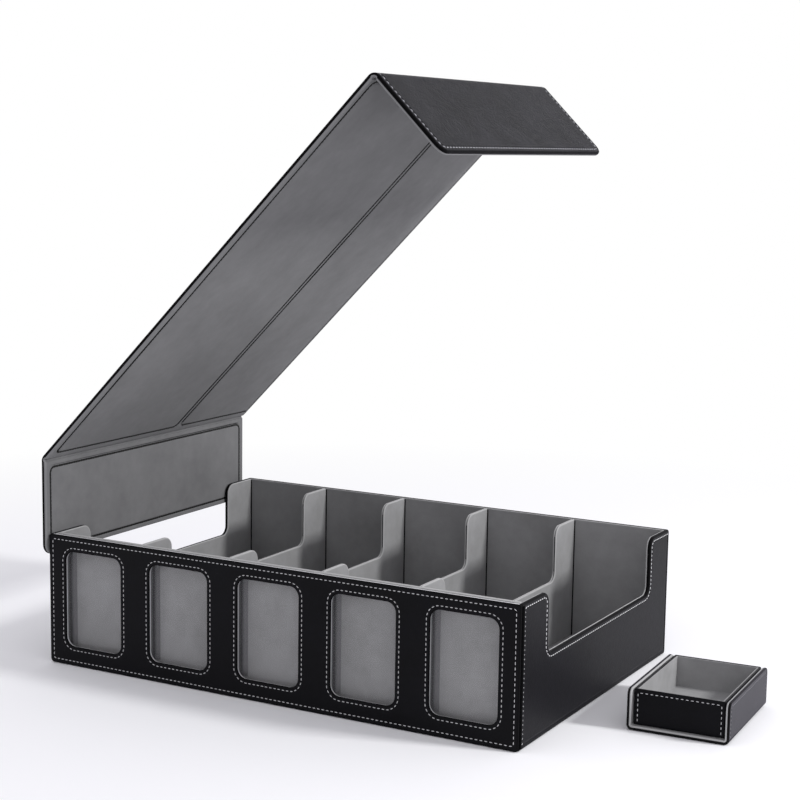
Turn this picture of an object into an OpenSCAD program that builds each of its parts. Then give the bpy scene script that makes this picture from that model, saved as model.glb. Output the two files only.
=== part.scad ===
// Trading card box with five bays, a lift-off folding lid and a small tray in a sleeve.
// Millimetres. X runs along the front, Y to the back, Z up.
// The origin is on the floor, under the middle of the main box.

/* [Box] */
// Width of the box across its front
box_w = 434; // [400:1:480]
// Depth of the box from front to back
box_d = 300; // [270:1:340]
// Height of the box
box_h = 110; // [107:1:125]
// Thickness of the leather skin
leather_t = 0.8; // [0.6:0.1:1.1]
// Thickness of the soft lining
lining_t = 1.2; // [0.9:0.1:1.5]
// Thickness of the board in the side and back walls
wall_board_t = 2.2; // [2:0.1:3]
// Thickness of the board in the front panel
front_board_t = 1.8; // [1:0.1:1.8]
// Thickness of the board under the floor
base_board_t = 2.5; // [2:0.1:3.5]
// How far a lining stops short of the leather edge round it
lining_inset = 0.3; // [0.1:0.1:0.8]

/* [Scoops] */
// Height of the low edge of the walls and dividers above the floor
scoop_low = 62; // [50:1:75]
// Distance from the front of the box to the front riser of a scoop
scoop_front = 49.5; // [46:0.5:60]
// Distance from the back of the box to the back riser of a scoop
scoop_back = 43.5; // [43:0.5:60]
// Radius of the upper corners of a scoop
scoop_top_r = 9; // [4:0.5:12]
// Radius of the lower corners of a scoop
scoop_low_r = 8; // [4:0.5:12]

/* [Front windows] */
// Width of a window
window_w = 56.5; // [45:0.5:62]
// Height of a window
window_h = 80.5; // [60:0.5:82]
// Height of a window's sill above the floor
window_z = 16.5; // [16.5:0.5:20]
// Corner radius of a window
window_r = 8; // [3:0.5:12]
// How far the lining shows inside the leather edge of a window
window_lip = 0.8; // [0.4:0.1:1.5]
// Thickness of a window film
film_t = 0.3; // [0.2:0.05:0.6]
// How far a film reaches past its window
film_lap = 4.5; // [2:0.5:5]

/* [Card slot] */
// Width of the slot behind the front panel
slot_t = 2.5; // [1:0.1:2.5]
// Width of the upright strips in the slot
spacer_w = 8; // [6:0.5:10]
// Height of the strip along the bottom of the slot
spacer_h = 6; // [4:0.5:7]
// Thickness of the board in the inner front wall
inner_board_t = 2; // [0.8:0.1:2]
// How far the inner front wall stops below the top of the box
inner_drop = 0.5; // [0.5:0.5:3]

/* [Dividers] */
// Thickness of the board in a divider
divider_board_t = 1; // [0.8:0.1:2]
// Thickness of the lining on each side of a divider
divider_lining_t = 1; // [0.6:0.1:1.5]
// How far a divider stops below the top of the box
divider_drop = 0.5; // [0.5:0.5:3]
// Height of a tab at a divider's end
tab_h = 14; // [8:1:18]
// Height of the lower tabs above the floor lining
tab_low = 8; // [6:1:10]
// Height of the upper tabs above the floor lining
tab_high = 34; // [31:1:36]
// Clearance round a tab in its slit
tab_clear = 0.15; // [0.1:0.05:0.3]

/* [Lid] */
// Thickness of the board in the lid
lid_board_t = 2.6; // [2:0.1:3.5]
// Clearance between the lid and the box
lid_gap = 0.4; // [0.3:0.1:0.8]
// How far the lid reaches past the front of the box
lid_overhang = 3; // [0:0.5:4]
// How far the lid stops short of the back of the box
lid_short = 12; // [4:0.5:14]
// Height of the lid's side panel, from its fold to its free edge
side_h = 82.5; // [75:0.5:95]
// Height of the lid's flap, from its fold to its free edge
flap_h = 82.5; // [75:0.5:95]
// Corner radius at the free edges of the side panel and the flap
lid_corner_r = 9; // [4:0.5:14]
// Distance from a fold line to the boards beside it
fold_setback = 7; // [6:0.5:10]
// Thickness of the lining inside a fold
fold_lining_t = 1.6; // [1:0.1:2.2]
// How far the raised side panel still hangs over the wall
raised_lap = 18.5; // [18:0.5:24]
// Angle of the open lid above level
lid_open_deg = 45.2; // [30:0.2:60]
// Distance from the front edge of the lid to its lengthwise seam
seam_from_front = 189; // [150:1:220]
// Width of the seam between the two lid boards
seam_w = 2; // [1:0.5:4]

/* [Magnets] */
// Radius of a magnet
magnet_r = 5; // [3:0.5:6]
// Thickness of a magnet
magnet_t = 1.6; // [1:0.1:1.8]
// Clearance round a magnet in its pocket
magnet_clear = 0.1; // [0.05:0.05:0.3]
// Height of a magnet above the free edge of its panel
magnet_up = 11; // [8:0.5:11]
// Distance from the front of the box to the front magnets
magnet_front = 20; // [15:0.5:28]
// Distance from the back of the box to the rear magnets
magnet_back = 32; // [28:0.5:33]

/* [Small sleeve] */
// Width of the sleeve
sleeve_w = 79.5; // [70:0.5:82]
// Depth of the sleeve
sleeve_d = 108; // [90:1:130]
// Height of the sleeve
sleeve_h = 32; // [26:0.5:45]
// Thickness of the board in the sleeve
sleeve_board_t = 1; // [0.8:0.1:1.6]
// Thickness of the padded lining in the sleeve
sleeve_lining_t = 1.6; // [1:0.1:1.8]
// Distance from a fold line of the sleeve to the boards beside it
sleeve_setback = 4; // [4:0.25:6]
// Radius of the upper corners of the sleeve's flaps
sleeve_corner_r = 5; // [2:0.5:8]
// Gap between the main box and the sleeve
sleeve_apart = 47.5; // [42:0.5:80]
// Distance of the sleeve's front corner behind the front of the main box
sleeve_back = 91; // [60:1:120]
// Turn of the sleeve to the left
sleeve_turn = 3; // [0:0.5:6]

/* [Tray] */
// Clearance between the tray and each side of the sleeve
tray_side_gap = 1; // [0.4:0.1:1.5]
// Clearance under the tray
tray_under_gap = 0.3; // [0.2:0.05:0.5]
// How far the tray stands back from the front of the sleeve
tray_front_gap = 3.5; // [1:0.5:6]
// How far the tray stands back from the rear of the sleeve
tray_back_gap = 2; // [1:0.5:6]
// How far the tray stops below the top of the sleeve
tray_drop = 0.3; // [0:0.1:2]
// Thickness of the board in the tray
tray_board_t = 1.2; // [0.8:0.1:2]
// Thickness of the lining in the tray
tray_lining_t = 1; // [0.6:0.1:1.5]

/* [Hidden] */
$fn = 64;
BAYS = 5;
// Overlap between the plain shapes that make up one outline or one cut
lap = 1;

LEATHER = "#18181b";
LINING = "#77777b";
BOARD = "#9a8f80";
FILM = [0.8, 0.84, 0.88, 0.4];
MAGNET = "#b9bcc0";

// Whole walls, from the outside in
wall_t = leather_t + wall_board_t + lining_t;
front_t = leather_t + front_board_t + lining_t;
floor_z = leather_t + base_board_t + lining_t;
divider_t = divider_board_t + 2 * divider_lining_t;

// Faces of the box
half_w = box_w / 2;
front_y = -box_d / 2;
back_y = box_d / 2;
front_in_y = front_y + front_t;
back_in_y = back_y - wall_t;
inner_front_y = front_in_y + slot_t;
inner_t = inner_board_t + 2 * lining_t;
bay_front_y = inner_front_y + inner_t;
inner_half_w = half_w - wall_t;
inner_top = box_h - inner_drop;

// Bays are equal, with a divider between each two
bay_pitch = (2 * inner_half_w + divider_t) / BAYS;
function bay_x(i) = (i - (BAYS - 1) / 2) * bay_pitch;
function divider_x(i) = (i - BAYS / 2) * bay_pitch;

// Scoop risers
scoop_front_y = front_y + scoop_front;
scoop_back_y = back_y - scoop_back;

// Lid
lid_t = leather_t + lid_board_t + lining_t;
lid_front_y = front_y - lid_overhang;
lid_back_y = back_y - lid_short;
lid_run = box_w + 2 * (lid_gap + lid_t);
fold_x = -half_w - lid_gap - lid_t;
closed_fold_z = box_h + lid_gap + lid_t;
fold_z = box_h - raised_lap + side_h;
seam_y = lid_front_y + seam_from_front;
lid_board_depth = leather_t + lid_board_t;
magnet_ys = [front_y + magnet_front, back_y - magnet_back];
closed_magnet_z = closed_fold_z - side_h + magnet_up;
raised_magnet_z = fold_z - side_h + magnet_up;
flap_magnet_z = closed_fold_z - flap_h + magnet_up;

// Sleeve and tray
sleeve_t = leather_t + sleeve_board_t + sleeve_lining_t;
sleeve_x = half_w + sleeve_apart;
sleeve_y = front_y + sleeve_back;
tray_w = sleeve_w - 2 * (sleeve_t + tray_side_gap);
tray_d = sleeve_d - tray_front_gap - tray_back_gap;
tray_z = sleeve_t + tray_under_gap;
tray_h = sleeve_h - tray_z - tray_drop;

// A slab whose outline is drawn in X and Z, from y up to y + t
module slab_xz(y, t) {
    translate([0, y + t, 0]) rotate([90, 0, 0]) linear_extrude(t) children();
}

// A slab whose outline is drawn in Y and Z, from x up to x + t
module slab_yz(x, t) {
    translate([x, 0, 0]) rotate([90, 0, 90]) linear_extrude(t) children();
}

// A slab whose outline is drawn in X and Y, from z up to z + t
module slab_xy(z, t) {
    translate([0, 0, z]) linear_extrude(t) children();
}

// Rectangle from a to b, drawn in by d
module rect(a, b, d = 0) {
    translate([a[0] + d, a[1] + d]) square([b[0] - a[0] - 2 * d, b[1] - a[1] - 2 * d]);
}

// Rectangle from a to b with round corners
module round_rect(a, b, r) {
    rect([a[0] + r, a[1]], [b[0] - r, b[1]]);
    rect([a[0], a[1] + r], [b[0], b[1] - r]);
    for (x = [a[0] + r, b[0] - r], y = [a[1] + r, b[1] - r])
        translate([x, y]) circle(r);
}

// Upright sheet with a scoop in its top edge, drawn in by d
module scooped(y0, y1, z0, top, d = 0) {
    low = scoop_low - d;
    f = scoop_front_y - d;
    b = scoop_back_y + d;
    ro = scoop_top_r - d;
    ri = scoop_low_r + d;
    rect([y0 + d, z0 + d], [y1 - d, low]);
    rect([y0 + d, low - lap], [f - ro, top - d]);
    rect([f - ro - lap, low - lap], [f, top - d - ro]);
    translate([f - ro, top - d - ro]) circle(ro);
    rect([b + ro, low - lap], [y1 - d, top - d]);
    rect([b, low - lap], [b + ro + lap, top - d - ro]);
    translate([b + ro, top - d - ro]) circle(ro);
    difference() {
        rect([f - lap, low - lap], [f + ri, low + ri]);
        translate([f + ri, low + ri]) circle(ri);
    }
    difference() {
        rect([b - ri, low - lap], [b + lap, low + ri]);
        translate([b - ri, low + ri]) circle(ri);
    }
}

// Base

module base_cover() {
    color(LEATHER) slab_xy(0, leather_t) rect([-half_w, front_y], [half_w, back_y]);
}

module base_board() {
    color(BOARD) slab_xy(leather_t, base_board_t)
        rect([-inner_half_w, front_in_y], [inner_half_w, back_in_y]);
}

module floor_lining() {
    color(LINING) slab_xy(leather_t + base_board_t, lining_t)
        rect([-inner_half_w, front_in_y], [inner_half_w, back_in_y]);
}

// Front panel with its windows

module panel_xz(d = 0) {
    rect([-half_w, leather_t], [half_w, box_h], d);
}

// Window outlines, made larger by grow
module windows(grow = 0) {
    for (i = [0:BAYS - 1])
        translate([bay_x(i), window_z])
            round_rect([-window_w / 2 - grow, -grow], [window_w / 2 + grow, window_h + grow],
                window_r + grow);
}

module front_cover() {
    color(LEATHER) difference() {
        slab_xz(front_y, leather_t + front_board_t) difference() {
            panel_xz();
            windows();
        }
        slab_xz(front_y + leather_t, front_board_t) front_board_outline();
    }
}

module front_board_outline() {
    difference() {
        panel_xz(leather_t);
        windows(leather_t);
    }
}

module front_board() {
    color(BOARD) slab_xz(front_y + leather_t, front_board_t) front_board_outline();
}

module front_lining() {
    color(LINING) slab_xz(front_in_y - lining_t, lining_t) difference() {
        panel_xz(lining_inset);
        windows(-window_lip);
    }
}

module window_films() {
    color(FILM) for (i = [0:BAYS - 1])
        slab_xz(front_in_y, film_t) translate([bay_x(i), window_z])
            rect([-window_w / 2 - film_lap, -film_lap], [window_w / 2 + film_lap, window_h + film_lap]);
}

// Card slot and inner front wall

module slot_spacers() {
    color(BOARD) slab_xz(front_in_y, slot_t) {
        rect([-inner_half_w, floor_z], [inner_half_w, floor_z + spacer_h]);
        rect([-inner_half_w, floor_z], [-inner_half_w + spacer_w / 2, inner_top]);
        rect([inner_half_w - spacer_w / 2, floor_z], [inner_half_w, inner_top]);
        for (i = [1:BAYS - 1])
            translate([divider_x(i), 0]) rect([-spacer_w / 2, floor_z], [spacer_w / 2, inner_top]);
    }
}

module inner_front_board() {
    color(BOARD) slab_xz(inner_front_y + lining_t, inner_board_t)
        rect([-inner_half_w, floor_z], [inner_half_w, inner_top - lining_t]);
}

module inner_front_lining() {
    color(LINING) difference() {
        slab_xz(inner_front_y, inner_t) rect([-inner_half_w, floor_z], [inner_half_w, inner_top]);
        inner_front_board();
        tab_slits();
    }
}

// Back wall

module back_cover() {
    color(LEATHER) difference() {
        slab_xz(back_y - leather_t - wall_board_t, leather_t + wall_board_t) panel_xz();
        back_board();
    }
}

module back_board() {
    color(BOARD) slab_xz(back_y - leather_t - wall_board_t, wall_board_t) panel_xz(leather_t);
}

module back_lining() {
    color(LINING) difference() {
        slab_xz(back_in_y, lining_t) panel_xz(lining_inset);
        tab_slits();
    }
}

// Side walls, drawn for the right and mirrored for the left

module side_outline(d = 0) {
    scooped(front_in_y, back_in_y, leather_t, box_h, d);
}

module side_cover() {
    color(LEATHER) difference() {
        slab_yz(half_w - leather_t - wall_board_t, leather_t + wall_board_t) side_outline();
        side_board_solid();
    }
}

module side_board_solid() {
    slab_yz(half_w - leather_t - wall_board_t, wall_board_t) side_outline(leather_t);
}

module side_lining() {
    color(LINING) slab_yz(inner_half_w, lining_t) difference() {
        side_outline(lining_inset);
        rect([front_in_y - lap, 0], [back_in_y + lap, leather_t]);
    }
}

// Discs, or their pockets, just under the leather of the right wall
module side_discs(zs, r) {
    for (y = magnet_ys, z = zs)
        translate([half_w - leather_t - magnet_t, y, z]) rotate([0, 90, 0]) cylinder(r = r, h = magnet_t);
}

module right_wall_cover() {
    side_cover();
}

module right_wall_board() {
    color(BOARD) difference() {
        side_board_solid();
        side_discs([flap_magnet_z], magnet_r + magnet_clear);
    }
}

module right_wall_lining() {
    side_lining();
}

module left_wall_cover() {
    mirror([1, 0, 0]) side_cover();
}

module left_wall_board() {
    color(BOARD) mirror([1, 0, 0]) difference() {
        side_board_solid();
        side_discs([closed_magnet_z, raised_magnet_z], magnet_r + magnet_clear);
    }
}

module left_wall_lining() {
    mirror([1, 0, 0]) side_lining();
}

module wall_magnets() {
    color(MAGNET) {
        side_discs([flap_magnet_z], magnet_r);
        mirror([1, 0, 0]) side_discs([closed_magnet_z, raised_magnet_z], magnet_r);
    }
}

// Dividers, each a board with lining on both sides and tabs at its ends

module divider_outline() {
    scooped(bay_front_y, back_in_y, floor_z, box_h - divider_drop);
}

// The tabs of one divider; clear widens them into slits
module divider_tabs(clear = 0) {
    for (y = [bay_front_y - lining_t, back_in_y], z = [tab_low, tab_high])
        translate([-divider_board_t / 2 - clear, y, floor_z + z - clear])
            cube([divider_board_t + 2 * clear, lining_t, tab_h + 2 * clear]);
}

module tab_slits() {
    for (i = [1:BAYS - 1]) translate([divider_x(i), 0, 0]) divider_tabs(tab_clear);
}

module divider_board(i) {
    color(BOARD) translate([divider_x(i), 0, 0]) {
        slab_yz(-divider_board_t / 2, divider_board_t) divider_outline();
        divider_tabs();
    }
}

module divider_skins(i) {
    color(LINING) translate([divider_x(i), 0, 0]) for (x = [-divider_t / 2, divider_board_t / 2])
        slab_yz(x, divider_lining_t) divider_outline();
}

module divider_1() { divider_board(1); }
module divider_2() { divider_board(2); }
module divider_3() { divider_board(3); }
module divider_4() { divider_board(4); }
module divider_1_lining() { divider_skins(1); }
module divider_2_lining() { divider_skins(2); }
module divider_3_lining() { divider_skins(3); }
module divider_4_lining() { divider_skins(4); }

// Lid panels are drawn flat: X away from the fold line, outer face up at Z = 0

// Outline from u0 to u1; an end with a radius is free, and only free edges are drawn in by d
module lid_outline(u0, u1, r0, r1, d = 0) {
    a = r0 > 0 ? u0 + d : u0;
    b = r1 > 0 ? u1 - d : u1;
    ra = r0 > 0 ? r0 - d : 0;
    rb = r1 > 0 ? r1 - d : 0;
    y0 = lid_front_y + d;
    y1 = lid_back_y - d;
    rect([a + ra, y0], [b - rb, y1]);
    if (ra > 0) {
        rect([a, y0 + ra], [a + ra + lap, y1 - ra]);
        for (y = [y0 + ra, y1 - ra]) translate([a + ra, y]) circle(ra);
    }
    if (rb > 0) {
        rect([b - rb - lap, y0 + rb], [b, y1 - rb]);
        for (y = [y0 + rb, y1 - rb]) translate([b - rb, y]) circle(rb);
    }
}

module lid_board_solid(u0, u1, r0, r1) {
    slab_xy(-lid_board_depth, lid_board_t) lid_outline(u0, u1, r0, r1, leather_t);
}

module lid_cover(u0, u1, r0, r1) {
    color(LEATHER) difference() {
        slab_xy(-lid_board_depth, lid_board_depth) lid_outline(u0, u1, r0, r1);
        lid_board_solid(u0, u1, r0, r1);
    }
}

module lid_lining(u0, u1, r0, r1) {
    color(LINING) slab_xy(-lid_t, lining_t) lid_outline(u0, u1, r0, r1, leather_t + lining_inset);
}

// Discs, or their pockets, on the lining side of a lid panel
module lid_discs(u, r) {
    for (y = magnet_ys) translate([u, y, -lid_board_depth]) cylinder(r = r, h = magnet_t);
}

// Places of the three panels
module at_lid_side() {
    translate([fold_x, 0, fold_z]) rotate([0, -90, 0]) children();
}

module at_lid_top() {
    translate([fold_x, 0, fold_z]) rotate([0, -lid_open_deg, 0]) children();
}

module at_lid_flap() {
    at_lid_top() translate([lid_run, 0, 0]) rotate([0, 90, 0]) children();
}

side_u = -side_h + magnet_up;
flap_u = flap_h - magnet_up;

module lid_side_cover() {
    at_lid_side() lid_cover(-side_h, -fold_setback, lid_corner_r, 0);
}

module lid_side_board() {
    color(BOARD) at_lid_side() difference() {
        lid_board_solid(-side_h, -fold_setback, lid_corner_r, 0);
        lid_discs(side_u, magnet_r + magnet_clear);
    }
}

module lid_side_lining() {
    at_lid_side() lid_lining(-side_h, -fold_setback, lid_corner_r, 0);
}

module lid_side_magnets() {
    color(MAGNET) at_lid_side() lid_discs(side_u, magnet_r);
}

module lid_top_cover() {
    at_lid_top() lid_cover(fold_setback, lid_run - fold_setback, 0, 0);
}

// Part of the lid's top board between two Y values
module lid_top_board(y0, y1) {
    color(BOARD) at_lid_top() intersection() {
        lid_board_solid(fold_setback, lid_run - fold_setback, 0, 0);
        slab_xy(-lid_t, lid_t) rect([0, y0], [lid_run, y1]);
    }
}

module lid_top_front_board() {
    lid_top_board(lid_front_y, seam_y - seam_w / 2);
}

module lid_top_back_board() {
    lid_top_board(seam_y + seam_w / 2, lid_back_y);
}

module lid_top_lining() {
    at_lid_top() lid_lining(fold_setback, lid_run - fold_setback, 0, 0);
}

module lid_flap_cover() {
    at_lid_flap() lid_cover(fold_setback, flap_h, 0, lid_corner_r);
}

module lid_flap_board() {
    color(BOARD) at_lid_flap() difference() {
        lid_board_solid(fold_setback, flap_h, 0, lid_corner_r);
        lid_discs(flap_u, magnet_r + magnet_clear);
    }
}

module lid_flap_lining() {
    at_lid_flap() lid_lining(fold_setback, flap_h, 0, lid_corner_r);
}

module lid_flap_magnets() {
    color(MAGNET) at_lid_flap() lid_discs(flap_u, magnet_r);
}

// A bent strip along Y, round an axis at x and z, from its first angle through its turn
module bent_strip(x, z, r, t, y0, y1, first, turn) {
    translate([x, 0, z]) rotate([90, 0, 0]) rotate([0, 0, first]) rotate_extrude(angle = turn)
        rect([r - t, -y1], [r, -y0]);
}

// The lid's side fold turns from upright to the open angle, with its ends square to the panels
side_turn = 90 - lid_open_deg;
side_fold_r = fold_setback / tan(side_turn / 2);

module side_fold(depth, t) {
    bent_strip(fold_x + side_fold_r, fold_z - fold_setback, side_fold_r - depth, t,
        lid_front_y, lid_back_y, 180 - side_turn, side_turn);
}

module side_fold_leather() {
    color(LEATHER) side_fold(0, leather_t);
}

module side_fold_lining() {
    color(LINING) side_fold(leather_t, fold_lining_t);
}

// The flap's fold is a quarter turn
module flap_fold(depth, t) {
    at_lid_top() bent_strip(lid_run - fold_setback, -fold_setback, fold_setback - depth, t,
        lid_front_y, lid_back_y, 0, 90);
}

module flap_fold_leather() {
    color(LEATHER) flap_fold(0, leather_t);
}

module flap_fold_lining() {
    color(LINING) flap_fold(leather_t, fold_lining_t);
}

// Sleeve: a base and two side flaps, folded up from one wrap

module at_sleeve() {
    translate([sleeve_x, sleeve_y, 0]) rotate([0, 0, sleeve_turn]) children();
}

module sleeve_base_solid(z, t, d) {
    slab_xy(z, t) rect([sleeve_setback, d], [sleeve_w - sleeve_setback, sleeve_d - d]);
}

module sleeve_base_cover() {
    color(LEATHER) at_sleeve() difference() {
        sleeve_base_solid(0, leather_t + sleeve_board_t, 0);
        sleeve_base_solid(leather_t, sleeve_board_t, leather_t);
    }
}

module sleeve_base_board() {
    color(BOARD) at_sleeve() sleeve_base_solid(leather_t, sleeve_board_t, leather_t);
}

module sleeve_base_lining() {
    color(LINING) at_sleeve() sleeve_base_solid(leather_t + sleeve_board_t, sleeve_lining_t, lining_inset);
}

// Outline of a side flap in Y and Z, drawn in by d at its free edges
module sleeve_flap_outline(d = 0) {
    r = sleeve_corner_r - d;
    top = sleeve_h - d;
    rect([d, sleeve_setback], [sleeve_d - d, top - r]);
    rect([d + r, sleeve_setback], [sleeve_d - d - r, top]);
    for (y = [d + r, sleeve_d - d - r]) translate([y, top - r]) circle(r);
}

module sleeve_flap_board() {
    slab_yz(leather_t, sleeve_board_t) sleeve_flap_outline(leather_t);
}

module sleeve_flap_cover() {
    difference() {
        slab_yz(0, leather_t + sleeve_board_t) sleeve_flap_outline();
        sleeve_flap_board();
    }
}

module sleeve_flap_lining() {
    slab_yz(leather_t + sleeve_board_t, sleeve_lining_t) sleeve_flap_outline(lining_inset);
}

module sleeve_fold() {
    for (ring = [[0, leather_t], [leather_t, sleeve_board_t + sleeve_lining_t]])
        bent_strip(sleeve_setback, sleeve_setback, sleeve_setback - ring[0], ring[1], 0, sleeve_d, 180, 90);
}

// The right flap mirrors the left one
module at_sleeve_right() {
    at_sleeve() translate([sleeve_w, 0, 0]) mirror([1, 0, 0]) children();
}

module sleeve_left_cover() { color(LEATHER) at_sleeve() sleeve_flap_cover(); }
module sleeve_left_board() { color(BOARD) at_sleeve() sleeve_flap_board(); }
module sleeve_left_lining() { color(LINING) at_sleeve() sleeve_flap_lining(); }
module sleeve_right_cover() { color(LEATHER) at_sleeve_right() sleeve_flap_cover(); }
module sleeve_right_board() { color(BOARD) at_sleeve_right() sleeve_flap_board(); }
module sleeve_right_lining() { color(LINING) at_sleeve_right() sleeve_flap_lining(); }
module sleeve_left_fold() { color(LEATHER) at_sleeve() sleeve_fold(); }
module sleeve_right_fold() { color(LEATHER) at_sleeve_right() sleeve_fold(); }

// Tray, drawn with its own front left bottom corner at the origin

module at_tray() {
    at_sleeve() translate([sleeve_t + tray_side_gap, tray_front_gap, tray_z]) children();
}

// Block of the tray drawn in by d on all four sides
module tray_block(d, z0, z1) {
    slab_xy(z0, z1 - z0) rect([0, 0], [tray_w, tray_d], d);
}

tray_wall_in = leather_t + tray_board_t;
tray_floor_z = leather_t + tray_board_t;

module tray_cover() {
    color(LEATHER) at_tray() difference() {
        tray_block(0, 0, tray_h);
        tray_block(leather_t, leather_t, tray_h - leather_t);
        tray_block(tray_wall_in, leather_t, tray_h + lap);
    }
}

module tray_base_board() {
    color(BOARD) at_tray() tray_block(leather_t, leather_t, tray_floor_z);
}

module tray_wall_boards() {
    h = tray_h - leather_t - tray_floor_z;
    inner_d = tray_d - 2 * tray_wall_in;
    color(BOARD) at_tray() {
        for (y = [leather_t, tray_d - tray_wall_in]) translate([leather_t, y, tray_floor_z])
            cube([tray_w - 2 * leather_t, tray_board_t, h]);
        for (x = [leather_t, tray_w - tray_wall_in]) translate([x, tray_wall_in, tray_floor_z])
            cube([tray_board_t, inner_d, h]);
    }
}

module tray_lining() {
    color(LINING) at_tray() difference() {
        tray_block(tray_wall_in, tray_floor_z, tray_h - lining_inset);
        tray_block(tray_wall_in + tray_lining_t, tray_floor_z + tray_lining_t, tray_h + lap);
    }
}

base_cover();
base_board();
floor_lining();
front_cover();
front_board();
front_lining();
window_films();
slot_spacers();
inner_front_board();
inner_front_lining();
back_cover();
back_board();
back_lining();
left_wall_cover();
left_wall_board();
left_wall_lining();
right_wall_cover();
right_wall_board();
right_wall_lining();
wall_magnets();
divider_1();
divider_2();
divider_3();
divider_4();
divider_1_lining();
divider_2_lining();
divider_3_lining();
divider_4_lining();
lid_side_cover();
lid_side_board();
lid_side_lining();
lid_side_magnets();
side_fold_leather();
side_fold_lining();
lid_top_cover();
lid_top_front_board();
lid_top_back_board();
lid_top_lining();
flap_fold_leather();
flap_fold_lining();
lid_flap_cover();
lid_flap_board();
lid_flap_lining();
lid_flap_magnets();
sleeve_base_cover();
sleeve_base_board();
sleeve_base_lining();
sleeve_left_cover();
sleeve_left_board();
sleeve_left_lining();
sleeve_right_cover();
sleeve_right_board();
sleeve_right_lining();
sleeve_left_fold();
sleeve_right_fold();
tray_cover();
tray_base_board();
tray_wall_boards();
tray_lining();
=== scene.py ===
"""Trading card box: a leather-covered box with five scooped bays and clear front windows,
a folding lid held by magnets, and a small tray in a U-shaped sleeve.

Lengths in this file are millimetres until a mesh is made. Blender's are metres.
X runs along the front, Y to the back, Z up, and the origin is under the middle of the box.
"""
import math

import bpy
import numpy as np
from mathutils import Matrix, Vector
from mathutils.geometry import tessellate_polygon


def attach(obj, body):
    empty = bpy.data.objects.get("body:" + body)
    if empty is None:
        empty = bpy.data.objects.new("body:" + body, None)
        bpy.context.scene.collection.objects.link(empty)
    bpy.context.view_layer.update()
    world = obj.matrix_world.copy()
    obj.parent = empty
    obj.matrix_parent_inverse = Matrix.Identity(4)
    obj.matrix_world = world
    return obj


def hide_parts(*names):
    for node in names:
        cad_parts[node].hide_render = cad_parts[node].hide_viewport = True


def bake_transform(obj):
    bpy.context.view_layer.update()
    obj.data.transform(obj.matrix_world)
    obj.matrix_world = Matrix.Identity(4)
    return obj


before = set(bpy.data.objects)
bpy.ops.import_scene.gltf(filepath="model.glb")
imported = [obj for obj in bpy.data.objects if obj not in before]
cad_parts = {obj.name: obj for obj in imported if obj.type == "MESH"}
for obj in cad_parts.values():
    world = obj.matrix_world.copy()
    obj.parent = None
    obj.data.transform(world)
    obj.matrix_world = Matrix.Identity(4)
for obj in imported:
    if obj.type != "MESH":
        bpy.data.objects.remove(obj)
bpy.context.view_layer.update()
MM = 0.001

# Sizes of the box, as in the part's source
HALF_W, BOX_H = 217.0, 110.0
FRONT_Y, BACK_Y = -150.0, 150.0
LEATHER_T, LINING_T = 0.8, 1.2
WALL_BOARD_T, FRONT_BOARD_T, BASE_BOARD_T = 2.2, 1.8, 2.5
SLOT_T, INNER_BOARD_T, TOP_DROP = 2.5, 2.0, 0.5
WALL_COVER_T = LEATHER_T + WALL_BOARD_T
WALL_T = WALL_COVER_T + LINING_T
FRONT_T = LEATHER_T + FRONT_BOARD_T + LINING_T
FLOOR_Z = LEATHER_T + BASE_BOARD_T + LINING_T
FRONT_IN_Y, BACK_IN_Y = FRONT_Y + FRONT_T, BACK_Y - WALL_T
INNER_FRONT_T = INNER_BOARD_T + 2 * LINING_T
BAY_FRONT_Y = FRONT_IN_Y + SLOT_T + INNER_FRONT_T
INNER_HALF_W = HALF_W - WALL_T
INNER_TOP = BOX_H - TOP_DROP
DIVIDER_T = 3.0
BAYS = 5
BAY_PITCH = (2 * INNER_HALF_W + DIVIDER_T) / BAYS
BAY_X = [(i - 2) * BAY_PITCH for i in range(BAYS)]
DIVIDER_X = [(i - 1.5) * BAY_PITCH for i in range(BAYS - 1)]
SCOOP_FRONT_Y, SCOOP_BACK_Y, SCOOP_LOW = -100.5, 106.5, 62.0
SCOOP_TOP_R, SCOOP_LOW_R = 9.0, 8.0
WINDOW_W, WINDOW_H, WINDOW_Z, WINDOW_R = 56.5, 80.5, 16.5, 8.0

# Sizes of the lid. A panel ends SETBACK short of the corner that its fold goes round
LID_T = 4.6
LID_SKIN = 2.8
LID_FRONT_Y, LID_BACK_Y = -153.0, 138.0
LID_RUN = 444.0
FOLD_X, FOLD_Z = -222.0, 174.0
PANEL_H = 82.5
LID_CORNER_R = 9.0
SETBACK = 7.0
LID_OPEN = math.radians(45.2)

# Sizes of the sleeve, and of the tray in it. The skins hold the leather and its board
SLEEVE_W, SLEEVE_D, SLEEVE_H = 79.5, 108.0, 32.0
SLEEVE_T, SLEEVE_SKIN = 3.4, 2.0
SLEEVE_SETBACK, SLEEVE_CORNER_R = 4.0, 5.0
SLEEVE_AT = (264.5, -59.0)
SLEEVE_TURN = math.radians(3)
TRAY_IN, TRAY_FRONT, TRAY_Z = 4.4, 3.5, 3.7
TRAY_W, TRAY_D, TRAY_H = 70.7, 102.5, 28.0
TRAY_SKIN, TRAY_LINING = 2.0, 1.0

RIGHT, BACKWARDS, UP = np.eye(3)

# Camera

CAMERA_AZ, CAMERA_EL, CAMERA_ROLL = (math.radians(a) for a in (28.894, 8.217, 0.874))
CAMERA_AT = (733.4, -1270.3, 434.8)
CAMERA_LENS = 79.463


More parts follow.
